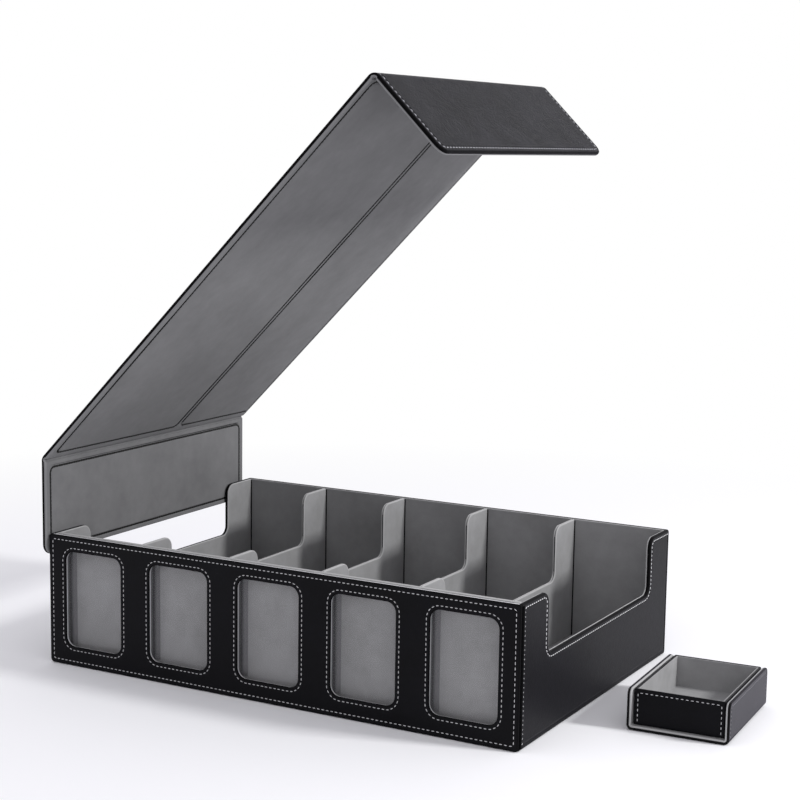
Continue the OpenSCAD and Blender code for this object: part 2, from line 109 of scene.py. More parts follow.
def make_camera():
    """Looks along azimuth and elevation, then rolls about that line."""
    ca, sa, ce, se = (math.cos(CAMERA_AZ), math.sin(CAMERA_AZ),
                      math.cos(CAMERA_EL), math.sin(CAMERA_EL))
    ahead = Vector((-sa * ce, ca * ce, -se))
    right = ahead.cross(Vector((0, 0, 1))).normalized()
    up = right.cross(ahead)
    c, s = math.cos(CAMERA_ROLL), math.sin(CAMERA_ROLL)
    x, y = right * c + up * s, up * c - right * s
    data = bpy.data.cameras.new("camera")
    data.sensor_width = 36
    data.lens = CAMERA_LENS
    data.clip_start, data.clip_end = 0.05, 60
    camera = bpy.data.objects.new("camera", data)
    camera.matrix_world = Matrix.Translation(Vector(CAMERA_AT) * MM) @ Matrix(
        (x, y, -ahead)).transposed().to_4x4()
    bpy.context.scene.collection.objects.link(camera)
    bpy.context.scene.camera = camera


make_camera()

# Materials


def colour(code):
    """An sRGB hex code as linear red, green, blue and alpha."""
    s = np.array([int(code[i:i + 2], 16) for i in (1, 3, 5)]) / 255
    return (*np.where(s <= 0.04045, s / 12.92, ((s + 0.055) / 1.055) ** 2.4), 1.0)


def node(tree, kind, inputs=None, **settings):
    """Adds a node, sets its properties, and sets or links its inputs."""
    made = tree.nodes.new(kind)
    for key, value in settings.items():
        setattr(made, key, value)
    for key, value in (inputs or {}).items():
        if isinstance(value, bpy.types.NodeSocket):
            tree.links.new(value, made.inputs[key])
        else:
            made.inputs[key].default_value = value
    return made


def new_material(name):
    """An empty material, its node tree, and a socket that gives Object coordinates."""
    material = bpy.data.materials.new(name)
    material.use_nodes = True
    tree = material.node_tree
    tree.nodes.clear()
    return material, tree, node(tree, "ShaderNodeTexCoord").outputs["Object"]


def per_metre(size):
    """Noise scale for a pattern whose spots are that many millimetres wide."""
    return 1 / (size * MM)


# Vertex attribute: 1 where leather or lining is turned over a board's edge, 0 on its faces. The
# leathers are painted darker along it, a painted shade, and the linings lighter, a painted highlight
TURNED_EDGE = "turned_edge"


def embossed_leather(name, dark, light, edge_painted_shade, shine, sheen, grain, rough):
    """Black polyurethane leather, roller-embossed with a pebble grain over a knit back.

    Satin with broad soft highlights. Pebbles of 1.6 mm, coarser than the real 0.8 mm, so that
    they show, with creases of 0.9 mm. Clouds of 32 mm and mottling of 4.5 mm where the roller
    pressed more or less. The lid was pressed harder than the box, so its grain, in mm, is deeper.
    Where it is turned over a board's edge its colour is painted darker, a painted shade, and it is
    rougher there. rough is its least and most roughness.
    """
    material, tree, place = new_material(name)
    edge = node(tree, "ShaderNodeAttribute", attribute_name=TURNED_EDGE).outputs["Fac"]
    cells = node(tree, "ShaderNodeTexVoronoi",
                 {"Vector": place, "Scale": per_metre(1.6), "Randomness": 0.9},
                 feature="SMOOTH_F1").outputs["Distance"]
    creases, clouds, mottle = (
        node(tree, "ShaderNodeTexNoise",
             {"Vector": place, "Scale": per_metre(size), "Detail": detail,
              "Roughness": spread}).outputs["Fac"]
        for size, detail, spread in ((0.9, 3.0, 0.6), (32, 3.0, 0.55), (4.5, 4.0, 0.65)))
    # Tone = 1.5 clouds + mottle, and height = creases - 1.33 distance from a pebble's middle
    tone = node(tree, "ShaderNodeMath", {0: clouds, 1: 1.5, 2: mottle},
                operation="MULTIPLY_ADD").outputs[0]
    tone = node(tree, "ShaderNodeMapRange",
                {"Value": tone, "From Min": 0.75, "From Max": 1.75}).outputs["Result"]
    face = node(tree, "ShaderNodeMix", {"Factor": tone, 6: colour(dark), 7: colour(light)},
                data_type="RGBA").outputs[2]
    # Turned edges are painted darker: painted shade
    skin = node(tree, "ShaderNodeMix", {"Factor": edge, 6: face, 7: colour(edge_painted_shade)},
                data_type="RGBA").outputs[2]
    gloss = node(tree, "ShaderNodeMapRange",
                 {"Value": mottle, "From Min": 0.3, "From Max": 0.7, "To Min": rough[0],
                  "To Max": rough[1]}).outputs["Result"]
    gloss = node(tree, "ShaderNodeMath", {0: edge, 1: 0.25, 2: gloss},
                 operation="MULTIPLY_ADD").outputs[0]
    height = node(tree, "ShaderNodeMath", {0: cells, 1: -1.33, 2: creases},
                  operation="MULTIPLY_ADD").outputs[0]
    bump = node(tree, "ShaderNodeBump",
                {"Height": height, "Distance": grain * MM}).outputs["Normal"]
    shader = node(tree, "ShaderNodeBsdfPrincipled",
                  {"Base Color": skin, "Roughness": gloss, "Specular IOR Level": shine,
                   "Sheen Weight": sheen, "Sheen Roughness": 0.42,
                   "Sheen Tint": colour("#b9b4c6"), "Normal": bump}).outputs["BSDF"]
    node(tree, "ShaderNodeOutputMaterial", {"Surface": shader})
    return material


def napped_lining(name, dark, light, edge_painted_light):
    """Grey brushed microfibre glued over board: matt, a short nap that turns light in patches.

    Fibres of 0.7 mm, drawn coarser than the real 0.1 mm nap. Brush strokes of 9 mm and patches
    of 45 mm. Where the lining is turned over an edge its colour is painted lighter, a painted
    highlight.
    """
    material, tree, place = new_material(name)
    edge = node(tree, "ShaderNodeAttribute", attribute_name=TURNED_EDGE).outputs["Fac"]
    patches, strokes, fibres = (
        node(tree, "ShaderNodeTexNoise",
             {"Vector": place, "Scale": per_metre(size), "Detail": 3.0,
              "Roughness": 0.6}).outputs["Fac"] for size in (45, 9, 0.7))
    share = node(tree, "ShaderNodeMath", {0: fibres, 1: 0.5, 2: strokes},
                 operation="MULTIPLY_ADD").outputs[0]
    share = node(tree, "ShaderNodeMath", {0: patches, 1: 2.0, 2: share},
                 operation="MULTIPLY_ADD").outputs[0]
    share = node(tree, "ShaderNodeMapRange",
                 {"Value": share, "From Min": 1.05, "From Max": 2.45}).outputs["Result"]
    face = node(tree, "ShaderNodeMix", {"Factor": share, 6: colour(dark), 7: colour(light)},
                data_type="RGBA").outputs[2]
    # Turned edges are painted lighter: painted highlight
    nap = node(tree, "ShaderNodeMix", {"Factor": edge, 6: face, 7: colour(edge_painted_light)},
               data_type="RGBA").outputs[2]
    height = node(tree, "ShaderNodeMath", {0: fibres, 1: strokes}).outputs[0]
    bump = node(tree, "ShaderNodeBump",
                {"Height": height, "Strength": 0.08, "Distance": 0.12 * MM}).outputs["Normal"]
    shader = node(tree, "ShaderNodeBsdfPrincipled",
                  {"Base Color": nap, "Roughness": 0.94, "Specular IOR Level": 0.1,
                   "Sheen Weight": 0.12, "Sheen Roughness": 0.6,
                   "Sheen Tint": colour("#c9c9cc"), "Normal": bump}).outputs["BSDF"]
    node(tree, "ShaderNodeOutputMaterial", {"Surface": shader})
    return material


def flecked(name, dark, light, size, metallic, rough, shine, bump_strength, bump_depth):
    """A surface with one fine pattern: colour, roughness and bump follow flecks of size mm.

    rough is its least and most roughness, and the bump's depth is in mm.
    """
    material, tree, place = new_material(name)
    flecks = node(tree, "ShaderNodeTexNoise",
                  {"Vector": place, "Scale": per_metre(size), "Detail": 3.0,
                   "Roughness": 0.6}).outputs["Fac"]
    share = node(tree, "ShaderNodeMapRange",
                 {"Value": flecks, "From Min": 0.3, "From Max": 0.7}).outputs["Result"]
    face = node(tree, "ShaderNodeMix", {"Factor": share, 6: colour(dark), 7: colour(light)},
                data_type="RGBA").outputs[2]
    gloss = node(tree, "ShaderNodeMapRange",
                 {"Value": share, "To Min": rough[0], "To Max": rough[1]}).outputs["Result"]
    bump = node(tree, "ShaderNodeBump",
                {"Height": flecks, "Strength": bump_strength,
                 "Distance": bump_depth * MM}).outputs["Normal"]
    shader = node(tree, "ShaderNodeBsdfPrincipled",
                  {"Base Color": face, "Metallic": metallic, "Roughness": gloss,
                   "Specular IOR Level": shine, "Normal": bump}).outputs["BSDF"]
    node(tree, "ShaderNodeOutputMaterial", {"Surface": shader})
    return material


def spun_thread(name, dark, light):
    """Bonded polyester sewing thread: low gloss, its plies seen as 0.5 mm light and dark bands."""
    return flecked(name, dark, light, 0.5, 0.0, (0.55, 0.65), 0.3, 0.4, 0.08)


def grey_board(name, dark, light):
    """Pressed greyboard from waste paper: matt, with 1.5 mm fibre flecks and a dull cut edge."""
    return flecked(name, dark, light, 1.5, 0.0, (0.85, 0.95), 0.2, 0.3, 0.1)


def turned_steel(name):
    """Nickel-plated steel disc: grey metal with turning marks 0.4 mm apart."""
    return flecked(name, "#a9abad", "#bcbec0", 0.4, 1.0, (0.25, 0.4), 0.5, 0.2, 0.05)


def clear_film(name):
    """Calendered PVC film: clear, a trace of haze, glossy, with slow waves of 30 mm in it."""
    material, tree, place = new_material(name)
    waves = node(tree, "ShaderNodeTexNoise",
                 {"Vector": place, "Scale": per_metre(30), "Detail": 1.0,
                  "Roughness": 0.4}).outputs["Fac"]
    gloss = node(tree, "ShaderNodeMapRange",
                 {"Value": waves, "From Min": 0.3, "From Max": 0.7, "To Min": 0.05,
                  "To Max": 0.12}).outputs["Result"]
    bump = node(tree, "ShaderNodeBump",
                {"Height": waves, "Strength": 0.25, "Distance": 0.4 * MM}).outputs["Normal"]
    shader = node(tree, "ShaderNodeBsdfPrincipled",
                  {"Base Color": colour("#707073"), "Roughness": gloss,
                   "Specular IOR Level": 0.8, "Alpha": 0.03, "Normal": bump}).outputs["BSDF"]
    node(tree, "ShaderNodeOutputMaterial", {"Surface": shader})
    return material


LEATHER = embossed_leather("black_box_leather", "#040406", "#09090e", "#020203", 0.09, 0.07,
                           0.04, (0.46, 0.5))
# The lid's leather is the box's leather painted lighter, as painted light for its lit faces
LID_LEATHER_PAINTED_LIGHTER = embossed_leather("black_lid_leather_painted_lighter", "#09090b", "#232327", "#020203", 0.06, 0.08,
                               0.3, (0.4, 0.56))
# The sleeve's leather is the box's leather painted lighter and given more sheen, as painted light for
# its bright sides
SLEEVE_LEATHER_PAINTED_LIGHTER = embossed_leather("black_sleeve_leather_painted_lighter", "#0a0a0d", "#16161a", "#030304", 0.13,
                                  0.26, 0.04, (0.46, 0.5))
# A darker, duller copy of the box's leather, as painted shade on the front corners of the side walls
CORNER_SHADE_LEATHER = embossed_leather("black_corner_leather_painted_shade", "#020203", "#040405", "#010102", 0.03, 0.0,
                                   0.02, (0.6, 0.7))
# The box's microfibre is the lid's lining painted lighter, as painted light for the lit bays; the
# sleeve, tray and dividers use it too
LINING_PAINTED_LIGHTER = napped_lining("grey_box_microfibre_painted_lighter", "#858585", "#9b9b9c", "#ababab")
LID_LINING = napped_lining("grey_lid_microfibre", "#646465", "#767677", "#7c7c7d")
# The front's microfibre is the same lining painted much lighter, as painted light on its cut edges
# round the windows and along the wall's top
FRONT_LINING_PAINTED_LIGHT = napped_lining("front_microfibre_painted_light", "#b8b8ba", "#cacacc", "#d6d6d8")
# The slot's microfibre is the same lining painted dark, as painted shade in the window pockets
SLOT_LINING_PAINTED_SHADE = napped_lining("slot_microfibre_painted_shade", "#434344", "#505052", "#747476")
THREAD = spun_thread("light_grey_thread", "#a2a2a5", "#dededf")
WALL_THREAD = spun_thread("mid_grey_thread", "#77777c", "#b2b2b7")
SLEEVE_THREAD = spun_thread("dark_grey_thread", "#5a5a5f", "#8c8c91")
BLACK_THREAD = spun_thread("black_thread", "#030303", "#0a0a0a")
BOARD = grey_board("pressed_greyboard", "#5d564c", "#7b7265")
FILM = clear_film("clear_window_film")
STEEL = turned_steel("nickelled_steel")

# Mesh helpers


class Place:
    """Origin and axes of a flat drawing: point = origin + u U + v V + h W.

    A drawing turns over when its axes are left-handed, and its faces are then turned back.
    """

    def __init__(self, origin, u, v, w):
        self.origin = np.array(origin, float)
        self.axes = np.array([u, v, w], float)

    def __call__(self, points):
        return self.origin + np.asarray(points, float) @ self.axes

    @property
    def turns_over(self):
        return np.linalg.det(self.axes) < 0


# Edges that turn by less than this are shaded smooth
SMOOTH_TO = math.radians(35)


def add_piece(name, points, faces, material, body, turned=False, edge=None):
    """Makes the mesh from points in mm, shades it smooth, and rides it on a body.

    A piece over a fold gets two bodies, and is attached to neither of them here. edge holds how
    far each point is turned over an edge, from 0 to 1.
    """
    if turned:
        faces = [face[::-1] for face in faces]
    mesh = bpy.data.meshes.new(name)
    mesh.from_pydata((np.asarray(points) * MM).tolist(), [], faces)
    mesh.materials.append(material)
    if edge is not None:
        mesh.attributes.new(TURNED_EDGE, "FLOAT", "POINT").data.foreach_set("value", edge)
    mesh.validate()
    mesh.shade_smooth()
    mesh.set_sharp_from_angle(angle=SMOOTH_TO)
    piece = bpy.data.objects.new(name, mesh)
    bpy.context.scene.collection.objects.link(piece)
    if isinstance(body, str):
        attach(piece, body)
    return piece


# Steps of each corner's arc, and the least radius that an inset leaves of it
ARC_STEPS = 7
LEAST_R = 0.02


def outline(corners, radii, inset=0.0):
    """Closed outline: every edge moves inwards by its own inset, then each corner gets an arc.

    Moved corner = corner + (ia b - ib a) / (a x b) for edges of directions a and b, and the arc's
    points are centre + rotation by 0 .. turn of the radius. A corner of radius 0 stays a point.
    """
    p, r = np.array(corners, float), np.broadcast_to(np.asarray(radii, float), len(corners))
    after = np.broadcast_to(np.asarray(inset, float), len(p))
    before = np.roll(after, 1)
    b = np.roll(p, -1, 0) - p
    b /= np.linalg.norm(b, axis=1)[:, None]
    a = np.roll(b, 1, 0)
    cross = a[:, 0] * b[:, 1] - a[:, 1] * b[:, 0]
    q = p + (before[:, None] * b - after[:, None] * a) / cross[:, None]
    turn = np.arctan2(cross, (a * b).sum(1))
    side = np.sign(turn)
    rr = np.where(r > 0, np.maximum(r - side * (before + after) / 2, LEAST_R), 0)
    normal = np.c_[-a[:, 1], a[:, 0]] * (side * rr)[:, None]
    centre = q - a * (rr * np.tan(np.abs(turn) / 2))[:, None] + normal
    angle = np.linspace(0, 1, ARC_STEPS + 1)[None, :] * turn[:, None]
    c, s = np.cos(angle)[..., None], np.sin(angle)[..., None]
    spoke = -normal[:, None, :]
    arcs = centre[:, None, :] + c * spoke + s * np.stack([-spoke[..., 1], spoke[..., 0]], -1)
    return np.concatenate([arcs[i] if r[i] > 0 else q[i:i + 1] for i in range(len(p))])


ROLL_ANGLES = np.linspace(0, math.pi / 2, 5)


def roll_up(radius, low, inset=0.0):
    """Quarter roll from a low face out to the edge, as (inset, height) pairs.

    At angle t it is at (inset + radius (1 - sin t), low + radius (1 - cos t)).
    """
    return [(inset + radius * (1 - math.sin(t)), low + radius * (1 - math.cos(t)))
            for t in ROLL_ANGLES]


def roll_over(radius, high, inset=0.0):
    """Quarter roll from the edge in to a high face, as (inset, height) pairs.

    At angle t it is at (inset + radius (1 - cos t), high - radius (1 - sin t)).
    """
    return [(inset + radius * (1 - math.cos(t)), high - radius * (1 - math.sin(t)))
            for t in ROLL_ANGLES]


def band(first, rings, count):
    """Quads between successive closed rings of count points, the first of them at index first."""
    k = np.arange(rings - 1)[:, None] * count
    j = np.arange(count)[None, :]
    n = (j + 1) % count
    quads = np.stack([k + j, k + n, k + count + n, k + count + j], -1) + first
    return quads.reshape(-1, 4)


def filled(loops, upwards=True):
    """Triangles that fill the first loop and leave the others open; loops are (indices, 2-D points)."""
    index = np.concatenate([ids for ids, _ in loops])
    flat = np.concatenate([pts for _, pts in loops])
    triangles = np.array(tessellate_polygon([[Vector((x, y, 0)) for x, y in pts]
                                             for _, pts in loops]))
    a, b, c = (flat[triangles[:, i]] for i in range(3))
    area = (b[:, 0] - a[:, 0]) * (c[:, 1] - a[:, 1]) - (b[:, 1] - a[:, 1]) * (c[:, 0] - a[:, 0])
    real = np.abs(area) > 1e-9
    triangles, area = triangles[real], area[real]
    wrong = (area < 0) == upwards
    triangles[wrong] = triangles[wrong][:, ::-1]
    return index[triangles].tolist()


def turned_share(inset, reach):
    """Turned-edge value at an inset: 1.3 (1 - inset / reach), kept from 0 to 1. Reach 0 gives 0."""
    return np.clip(1.3 * (1 - np.abs(inset) / reach), 0, 1) if reach else 0.0 * inset


class Shell:
    """Collects rings and faces of one piece in its flat drawing's coordinates."""

    def __init__(self):
        self.points, self.faces, self.edge, self.count = [], [], [], 0

    def rings(self, corners, radii, profile, outwards=1, skip=(), free=None, turned=0):
        """Carries a profile of (inset, height) along an outline, and returns its two end rings.

        outwards is -1 for an opening. skip lists the quads of a ring that are left out and closed
        by a flat face, free is 0 for the edges that don't move inwards, and the turned-edge value
        falls to 0 over the first turned mm of inset.
        """
        first, made = self.count, []
        free = np.ones(len(corners)) if free is None else np.asarray(free, float)
        for inset, height in profile:
            ring = outline(corners, radii, outwards * inset * free)
            made.append(np.c_[ring, np.full(len(ring), height)])
            self.edge.append(np.full(len(ring), turned_share(inset, turned)))
        size = len(made[0])
        self.points.append(np.concatenate(made))
        self.count += size * len(made)
        quads = band(first, len(made), size)
        for j in skip:
            quads = quads[(quads[:, 0] - first) % size != j]
            ks = np.arange(len(made)) * size + first
            self.faces.append([*(ks + j).tolist(), *(ks[::-1] + (j + 1) % size).tolist()][::-1])
        self.faces += quads.tolist()
        return [(np.arange(size) + first + k * size, made[k][:, :2]) for k in (0, len(made) - 1)]

    def piece(self, name, place, material, body):
        return add_piece(name, place(np.concatenate(self.points)), self.faces, material, body,
                         place.turns_over, np.concatenate(self.edge))


# Width of flat face that is drawn beside each roll, and where it starts beside a sewn dip
FLAT = 0.4
DIP_END = 1.25


def fill_region(shell, rim, loops, high, low, low_ends):
    """Fills the high face inside rim.

    A hole goes down to the low face, a pocket to its own floor, and a sewn line is a dip of
    depth (1 + cos(pi x)) / 2, where x runs from -1 to 1 over its reach.
    """
    openings = []
    for loop in loops:
        corners, radii = loop["corners"], loop["radii"]
        if loop["kind"] == "hole":
            over, under = loop["roll"]
            profile = [(over + FLAT, high), *roll_over(over, high)[::-1],
                       *roll_up(under, low)[::-1], (under + FLAT, low)]
            outer, inner = shell.rings(corners, radii, profile, -1, turned=over + FLAT)
            low_ends.append(inner)
        elif loop["kind"] == "pocket":
            roll, floor = loop["roll"], loop["floor"]
            profile = [(roll + FLAT, high), *roll_over(roll, high)[::-1],
                       (0, floor + roll), (-roll, floor)]
            outer, inner = shell.rings(corners, radii, profile, -1)
            shell.faces += filled([inner])
        else:
            across = np.r_[-DIP_END, np.linspace(-1, 1, 7), DIP_END]
            dips = loop["depth"] * (1 + np.cos(np.pi * np.clip(across, -1, 1))) / 2
            outer, inner = shell.rings(corners, radii,
                                       list(zip(loop["reach"] * across, high - dips)))
            fill_region(shell, inner, loop.get("inside", ()), high, low, low_ends)
        openings.append(outer)
    shell.faces += filled([rim, *openings])


def panel(name, place, corners, radii, low, high, roll, material, body,
          loops=(), cut=(), lips=()):
    """Flat panel between two heights with rolled edges, holes and sewn lines on its high face.

    roll is the radius at the low and at the high edge, loops are the holes, pockets and sewn
    lines, cut lists the edges that stay square because a fold goes on there, and lips are extra
    (inset, drop) pairs next to the high edge.
    """
    shell = Shell()
    free = [0 if i in cut else 1 for i in range(len(corners))]
    under, over = roll
    profile = [(under + FLAT, low), *roll_up(under, low), *roll_over(over, high),
               (over + FLAT, high), *[(inset, high - drop) for inset, drop in lips]]
    points_at = [ARC_STEPS + 1 if r > 0 else 1 for r in np.broadcast_to(radii, len(corners))]
    skip = [sum(points_at[:i + 1]) - 1 for i in cut]
    low_rim, high_rim = shell.rings(corners, radii, profile, 1, skip, free, over + FLAT)
    low_ends = []
    fill_region(shell, high_rim, loops, high, low, low_ends)
    shell.faces += filled([low_rim, *low_ends], upwards=False)
    return shell.piece(name, place, material, body)


# Over this many mm from its two ends a swept section's turned-edge value falls to 0
SWEPT_TURN = 1.9


def swept(name, section, stations, material, body, depth=None):
    """Carries a closed cross-section of (v, h) along stations of (origin, V, W), with flat ends.

    point = origin + v V + h W, where h is first passed through depth(station, v, h) if given.
    """
    section = np.asarray(section, float)
    v = section[:, 0]
    edge = np.tile(turned_share(np.minimum(v - v.min(), v.max() - v), SWEPT_TURN), len(stations))
    rings = []
    for k, (origin, v_axis, w_axis) in enumerate(stations):
        h = section[:, 1] if depth is None else depth(k, v, section[:, 1])
        rings.append(np.asarray(origin) + section[:, :1] * np.asarray(v_axis)
                     + h[:, None] * np.asarray(w_axis))
    size = len(section)
    faces = band(0, len(rings), size).tolist()
    faces += [list(range(size))[::-1], [(len(rings) - 1) * size + i for i in range(size)]]
    return add_piece(name, np.concatenate(rings), faces, material, body, edge=edge)


# A stitch's rings: place along it in lengths, radius in widths, and height in half widths
STITCH_RINGS = np.array([[-0.5, 0.0, -0.6], [-0.40, 0.75, -0.15], [-0.16, 1.0, 0.12],
                         [0.16, 1.0, 0.12], [0.40, 0.75, -0.15], [0.5, 0.0, -0.6]])
STITCH_ROUND = 6
STITCH_FLATNESS = 0.8
# How far stitches wander along the seam, in mm, and how far they turn out of its line
STITCH_SHIFT, STITCH_SKEW = 0.08, 0.07
# The line's direction is read this many mm before and after a stitch's middle
LINE_STEP = 0.6
thread_noise = np.random.default_rng(11)


def at_arc(s, arc, rows):
    """Rows of a path, read at arc lengths s."""
    return np.stack([np.interp(s, arc, rows[:, i]) for i in range(3)], -1)


def stitches(name, runs, stitch, material, body):
    """Rows of sewn stitches: each is a spindle along the line that dips into the leather at its ends.

    A run is (points, normals) in mm, and a stitch is its (pitch, length, width). Stitches sit at
    equal steps of arc length, and ring k of one has the centre x_k t + z_k n and the radius r_k.
    """
    pitch, length, width = stitch
    x, r, z = STITCH_RINGS.T
    turn = np.arange(STITCH_ROUND) * 2 * np.pi / STITCH_ROUND
    ring = np.stack([0 * turn, np.cos(turn) / 2, STITCH_FLATNESS * np.sin(turn) / 2], -1)
    spine = np.stack([x * length, 0 * x, z * width * 0.5], -1)
    inner = spine[1:-1, None, :] + r[1:-1, None, None] * width * ring[None]
    shape = np.concatenate([inner.reshape(-1, 3), spine[[0, -1]]])
    count = len(shape)
    faces = band(0, len(inner), STITCH_ROUND)[:, ::-1].tolist()
    j = np.arange(STITCH_ROUND)
    n = (j + 1) % STITCH_ROUND
    last = (len(inner) - 1) * STITCH_ROUND
    faces += np.stack([np.full_like(j, count - 2), n, j], -1)[:, ::-1].tolist()
    faces += np.stack([np.full_like(j, count - 1), last + j, last + n], -1)[:, ::-1].tolist()
    points, all_faces, total = [], [], 0
    for path, normals in runs:
        path, normals = np.asarray(path, float), np.asarray(normals, float)
        steps = np.linalg.norm(np.diff(path, axis=0), axis=1)
        arc = np.r_[0, np.cumsum(steps)]
        number = max(2, int(round(arc[-1] / pitch)))
        at = (np.arange(number) + 0.5) * arc[-1] / number
        at = at + thread_noise.uniform(-STITCH_SHIFT, STITCH_SHIFT, number)
        centre = at_arc(at, arc, path)
        along = (at_arc(np.minimum(at + LINE_STEP, arc[-1]), arc, path)
                 - at_arc(np.maximum(at - LINE_STEP, 0), arc, path))
        along /= np.linalg.norm(along, axis=1)[:, None]
        up = at_arc(at, arc, normals)
        up -= (up * along).sum(1)[:, None] * along
        up /= np.linalg.norm(up, axis=1)[:, None]
        across = np.cross(up, along)
        skew = thread_noise.uniform(-STITCH_SKEW, STITCH_SKEW, number)[:, None]
        along, across = along + skew * across, across - skew * along
        placed = (centre[:, None] + shape[None, :, :1] * along[:, None]
                  + shape[None, :, 1:2] * across[:, None] + shape[None, :, 2:] * up[:, None])
        points.append(placed.reshape(-1, 3))
        offset = total + np.arange(number) * count
        all_faces += [[i + o for i in face] for o in offset.tolist() for face in faces]
        total += number * count
    return add_piece(name, np.concatenate(points), all_faces, material, body)


def on_place(place, flat, height):
    """A run of stitches from 2-D points of a drawing, at a height over it."""
    flat = np.asarray(flat, float)
    return place(np.c_[flat, np.full(len(flat), height)]), np.tile(place.axes[2], (len(flat), 1))


def closed(points):
    """The same points, with the first one again at the end."""
    return np.vstack([points, points[:1]])


def run_round(place, corners, radius, height):
    """A run of stitches all round a rectangle with round corners."""
    return on_place(place, closed(outline(corners, radius)), height)


def run_over(place, corners, radius, height):
    """A run from a rectangle's lower right corner up, over its round top and down on the left."""
    line = outline(corners, [0, 0, radius, radius])
    return on_place(place, np.vstack([line[1:], line[:1]]), height)


def box_corners(u0, v0, u1, v1):
    """Corners of a rectangle, counterclockwise."""
    return [(u0, v0), (u1, v0), (u1, v1), (u0, v1)]


def moved(corners, out):
    """Corners of a rectangle drawn outwards by out."""
    (u0, v0), _, (u1, v1), _ = corners
    return box_corners(u0 - out, v0 - out, u1 + out, v1 + out)


# Main box

# Skins stand for the leather and part of the board. Sewn lines sink into them by a dip, and a
# stitch is given as (pitch, length, width)
FRONT_SKIN = 1.4
FACE_DIP, DIP_REACH = 0.35, 1.1
EDGE_SEAM, EDGE_SEAM_R = 3.8, 2.0
WINDOW_SEAM = 3.2
WINDOW_SEAM_R = WINDOW_R + WINDOW_SEAM
EDGE_STITCH = (4.0, 2.7, 0.72)
WINDOW_STITCH = (3.9, 2.5, 0.72)

front_place = Place((0, FRONT_Y + FRONT_SKIN, 0), RIGHT, UP, -BACKWARDS)
front_corners = box_corners(-HALF_W, 0, HALF_W, BOX_H)
window_corners = [box_corners(x - WINDOW_W / 2, WINDOW_Z, x + WINDOW_W / 2, WINDOW_Z + WINDOW_H)
                  for x in BAY_X]
edge_seam = moved(front_corners, -EDGE_SEAM)
window_seams = [moved(c, WINDOW_SEAM) for c in window_corners]
window_loops = [
    dict(kind="sewn", corners=seam, radii=WINDOW_SEAM_R, depth=FACE_DIP, reach=DIP_REACH,
         inside=[dict(kind="hole", corners=hole, radii=WINDOW_R, roll=(1.0, 0.3))])
    for seam, hole in zip(window_seams, window_corners)]
front_leather = panel(
    "front_leather", front_place, front_corners, [3.5, 2.5, 2.0, 2.0], 0, FRONT_SKIN, (0.2, 1.0),
    LEATHER, "box",
    loops=[dict(kind="sewn", corners=edge_seam, radii=EDGE_SEAM_R, depth=FACE_DIP, reach=DIP_REACH,
                inside=window_loops)])
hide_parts("front_cover")

stitches("front_edge_stitches",
         [run_round(front_place, edge_seam, EDGE_SEAM_R, FRONT_SKIN - FACE_DIP)],
         EDGE_STITCH, THREAD, "box")
stitches("window_stitches",
         [run_round(front_place, seam, WINDOW_SEAM_R, FRONT_SKIN - FACE_DIP)
          for seam in window_seams], WINDOW_STITCH, THREAD, "box")

# The lining ends a little outside each window, so that only the leather's edge shows there
WINDOW_LIP = 0.4
FRONT_LINING_SIDE, LINING_BOTTOM = 1.6, 1.1
# The front lining is painted light: its lighter colour stands in for light on its cut edges in the
# windows and on top
front_lining = panel(
    "front_lining_sheet", Place((0, FRONT_IN_Y, 0), RIGHT, UP, -BACKWARDS),
    box_corners(-HALF_W + FRONT_LINING_SIDE, LINING_BOTTOM, HALF_W - FRONT_LINING_SIDE, BOX_H - 0.2),
    1.5, 0, FRONT_T - FRONT_SKIN, (0.6, 0.1), FRONT_LINING_PAINTED_LIGHT, "box",
    loops=[dict(kind="hole", corners=moved(hole, WINDOW_LIP), radii=WINDOW_R + WINDOW_LIP,
                roll=(0.3, 1.3)) for hole in window_corners])
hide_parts("front_lining")

# Behind each window the inner wall is hollowed, which gives the cards in the slot some room
POCKET_PAST, POCKET_FLOOR = 6.0, 0.8
inner_wall = panel(
    "inner_front_wrap", Place((0, BAY_FRONT_Y, 0), RIGHT, UP, -BACKWARDS),
    box_corners(-INNER_HALF_W, FLOOR_Z, INNER_HALF_W, BOX_H - 0.1), 0.6, 0, INNER_FRONT_T,
    (1.3, 0.8), LINING_PAINTED_LIGHTER, "box",
    loops=[dict(kind="pocket", corners=moved(hole, POCKET_PAST), radii=WINDOW_R, roll=0.5,
                floor=POCKET_FLOOR) for hole in window_corners])
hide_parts("inner_front_lining", "inner_front_board")

# Left and right in each pocket stands a dark strip that bends from the wall on to the floor. The strip
# is painted shade: a dark sheet where the pocket's sides lie in shade, lighter near its two ends as the
# shade's soft edge
STRIP_OUT, STRIP_T, STRIP_BEND = 0.9, 1.2, 3.0
STRIP_EDGE, STRIP_LEDGE = 0.3, 1.8
STRIP_START, STRIP_SHORT = 0.35, 0.4
STRIP_Y = FRONT_IN_Y + STRIP_START
STRIP_D = SLOT_T + INNER_FRONT_T - POCKET_FLOOR - STRIP_SHORT
bend = np.radians(np.linspace(0, 90, 7))
strip_section = [(0, 0),
                 *zip(STRIP_D - STRIP_EDGE - STRIP_BEND * (1 - np.sin(bend)),
                      -STRIP_BEND * (1 - np.cos(bend))),
                 (STRIP_D, -STRIP_BEND - STRIP_LEDGE), (STRIP_D, STRIP_T), (0, STRIP_T)]
for i, hole in enumerate(window_corners, 1):
    (u0, v0), _, (u1, v1), _ = moved(hole, STRIP_OUT)
    for side, x, first, last in (("left", u0, v0, v1), ("right", u1, v1, v0)):
        out = np.sign(first - last)
        swept(f"window_{i}_{side}_shade_strip", strip_section,
              [((x, STRIP_Y, z), BACKWARDS, (out, 0, 0)) for z in (first, last)],
              SLOT_LINING_PAINTED_SHADE, "box")


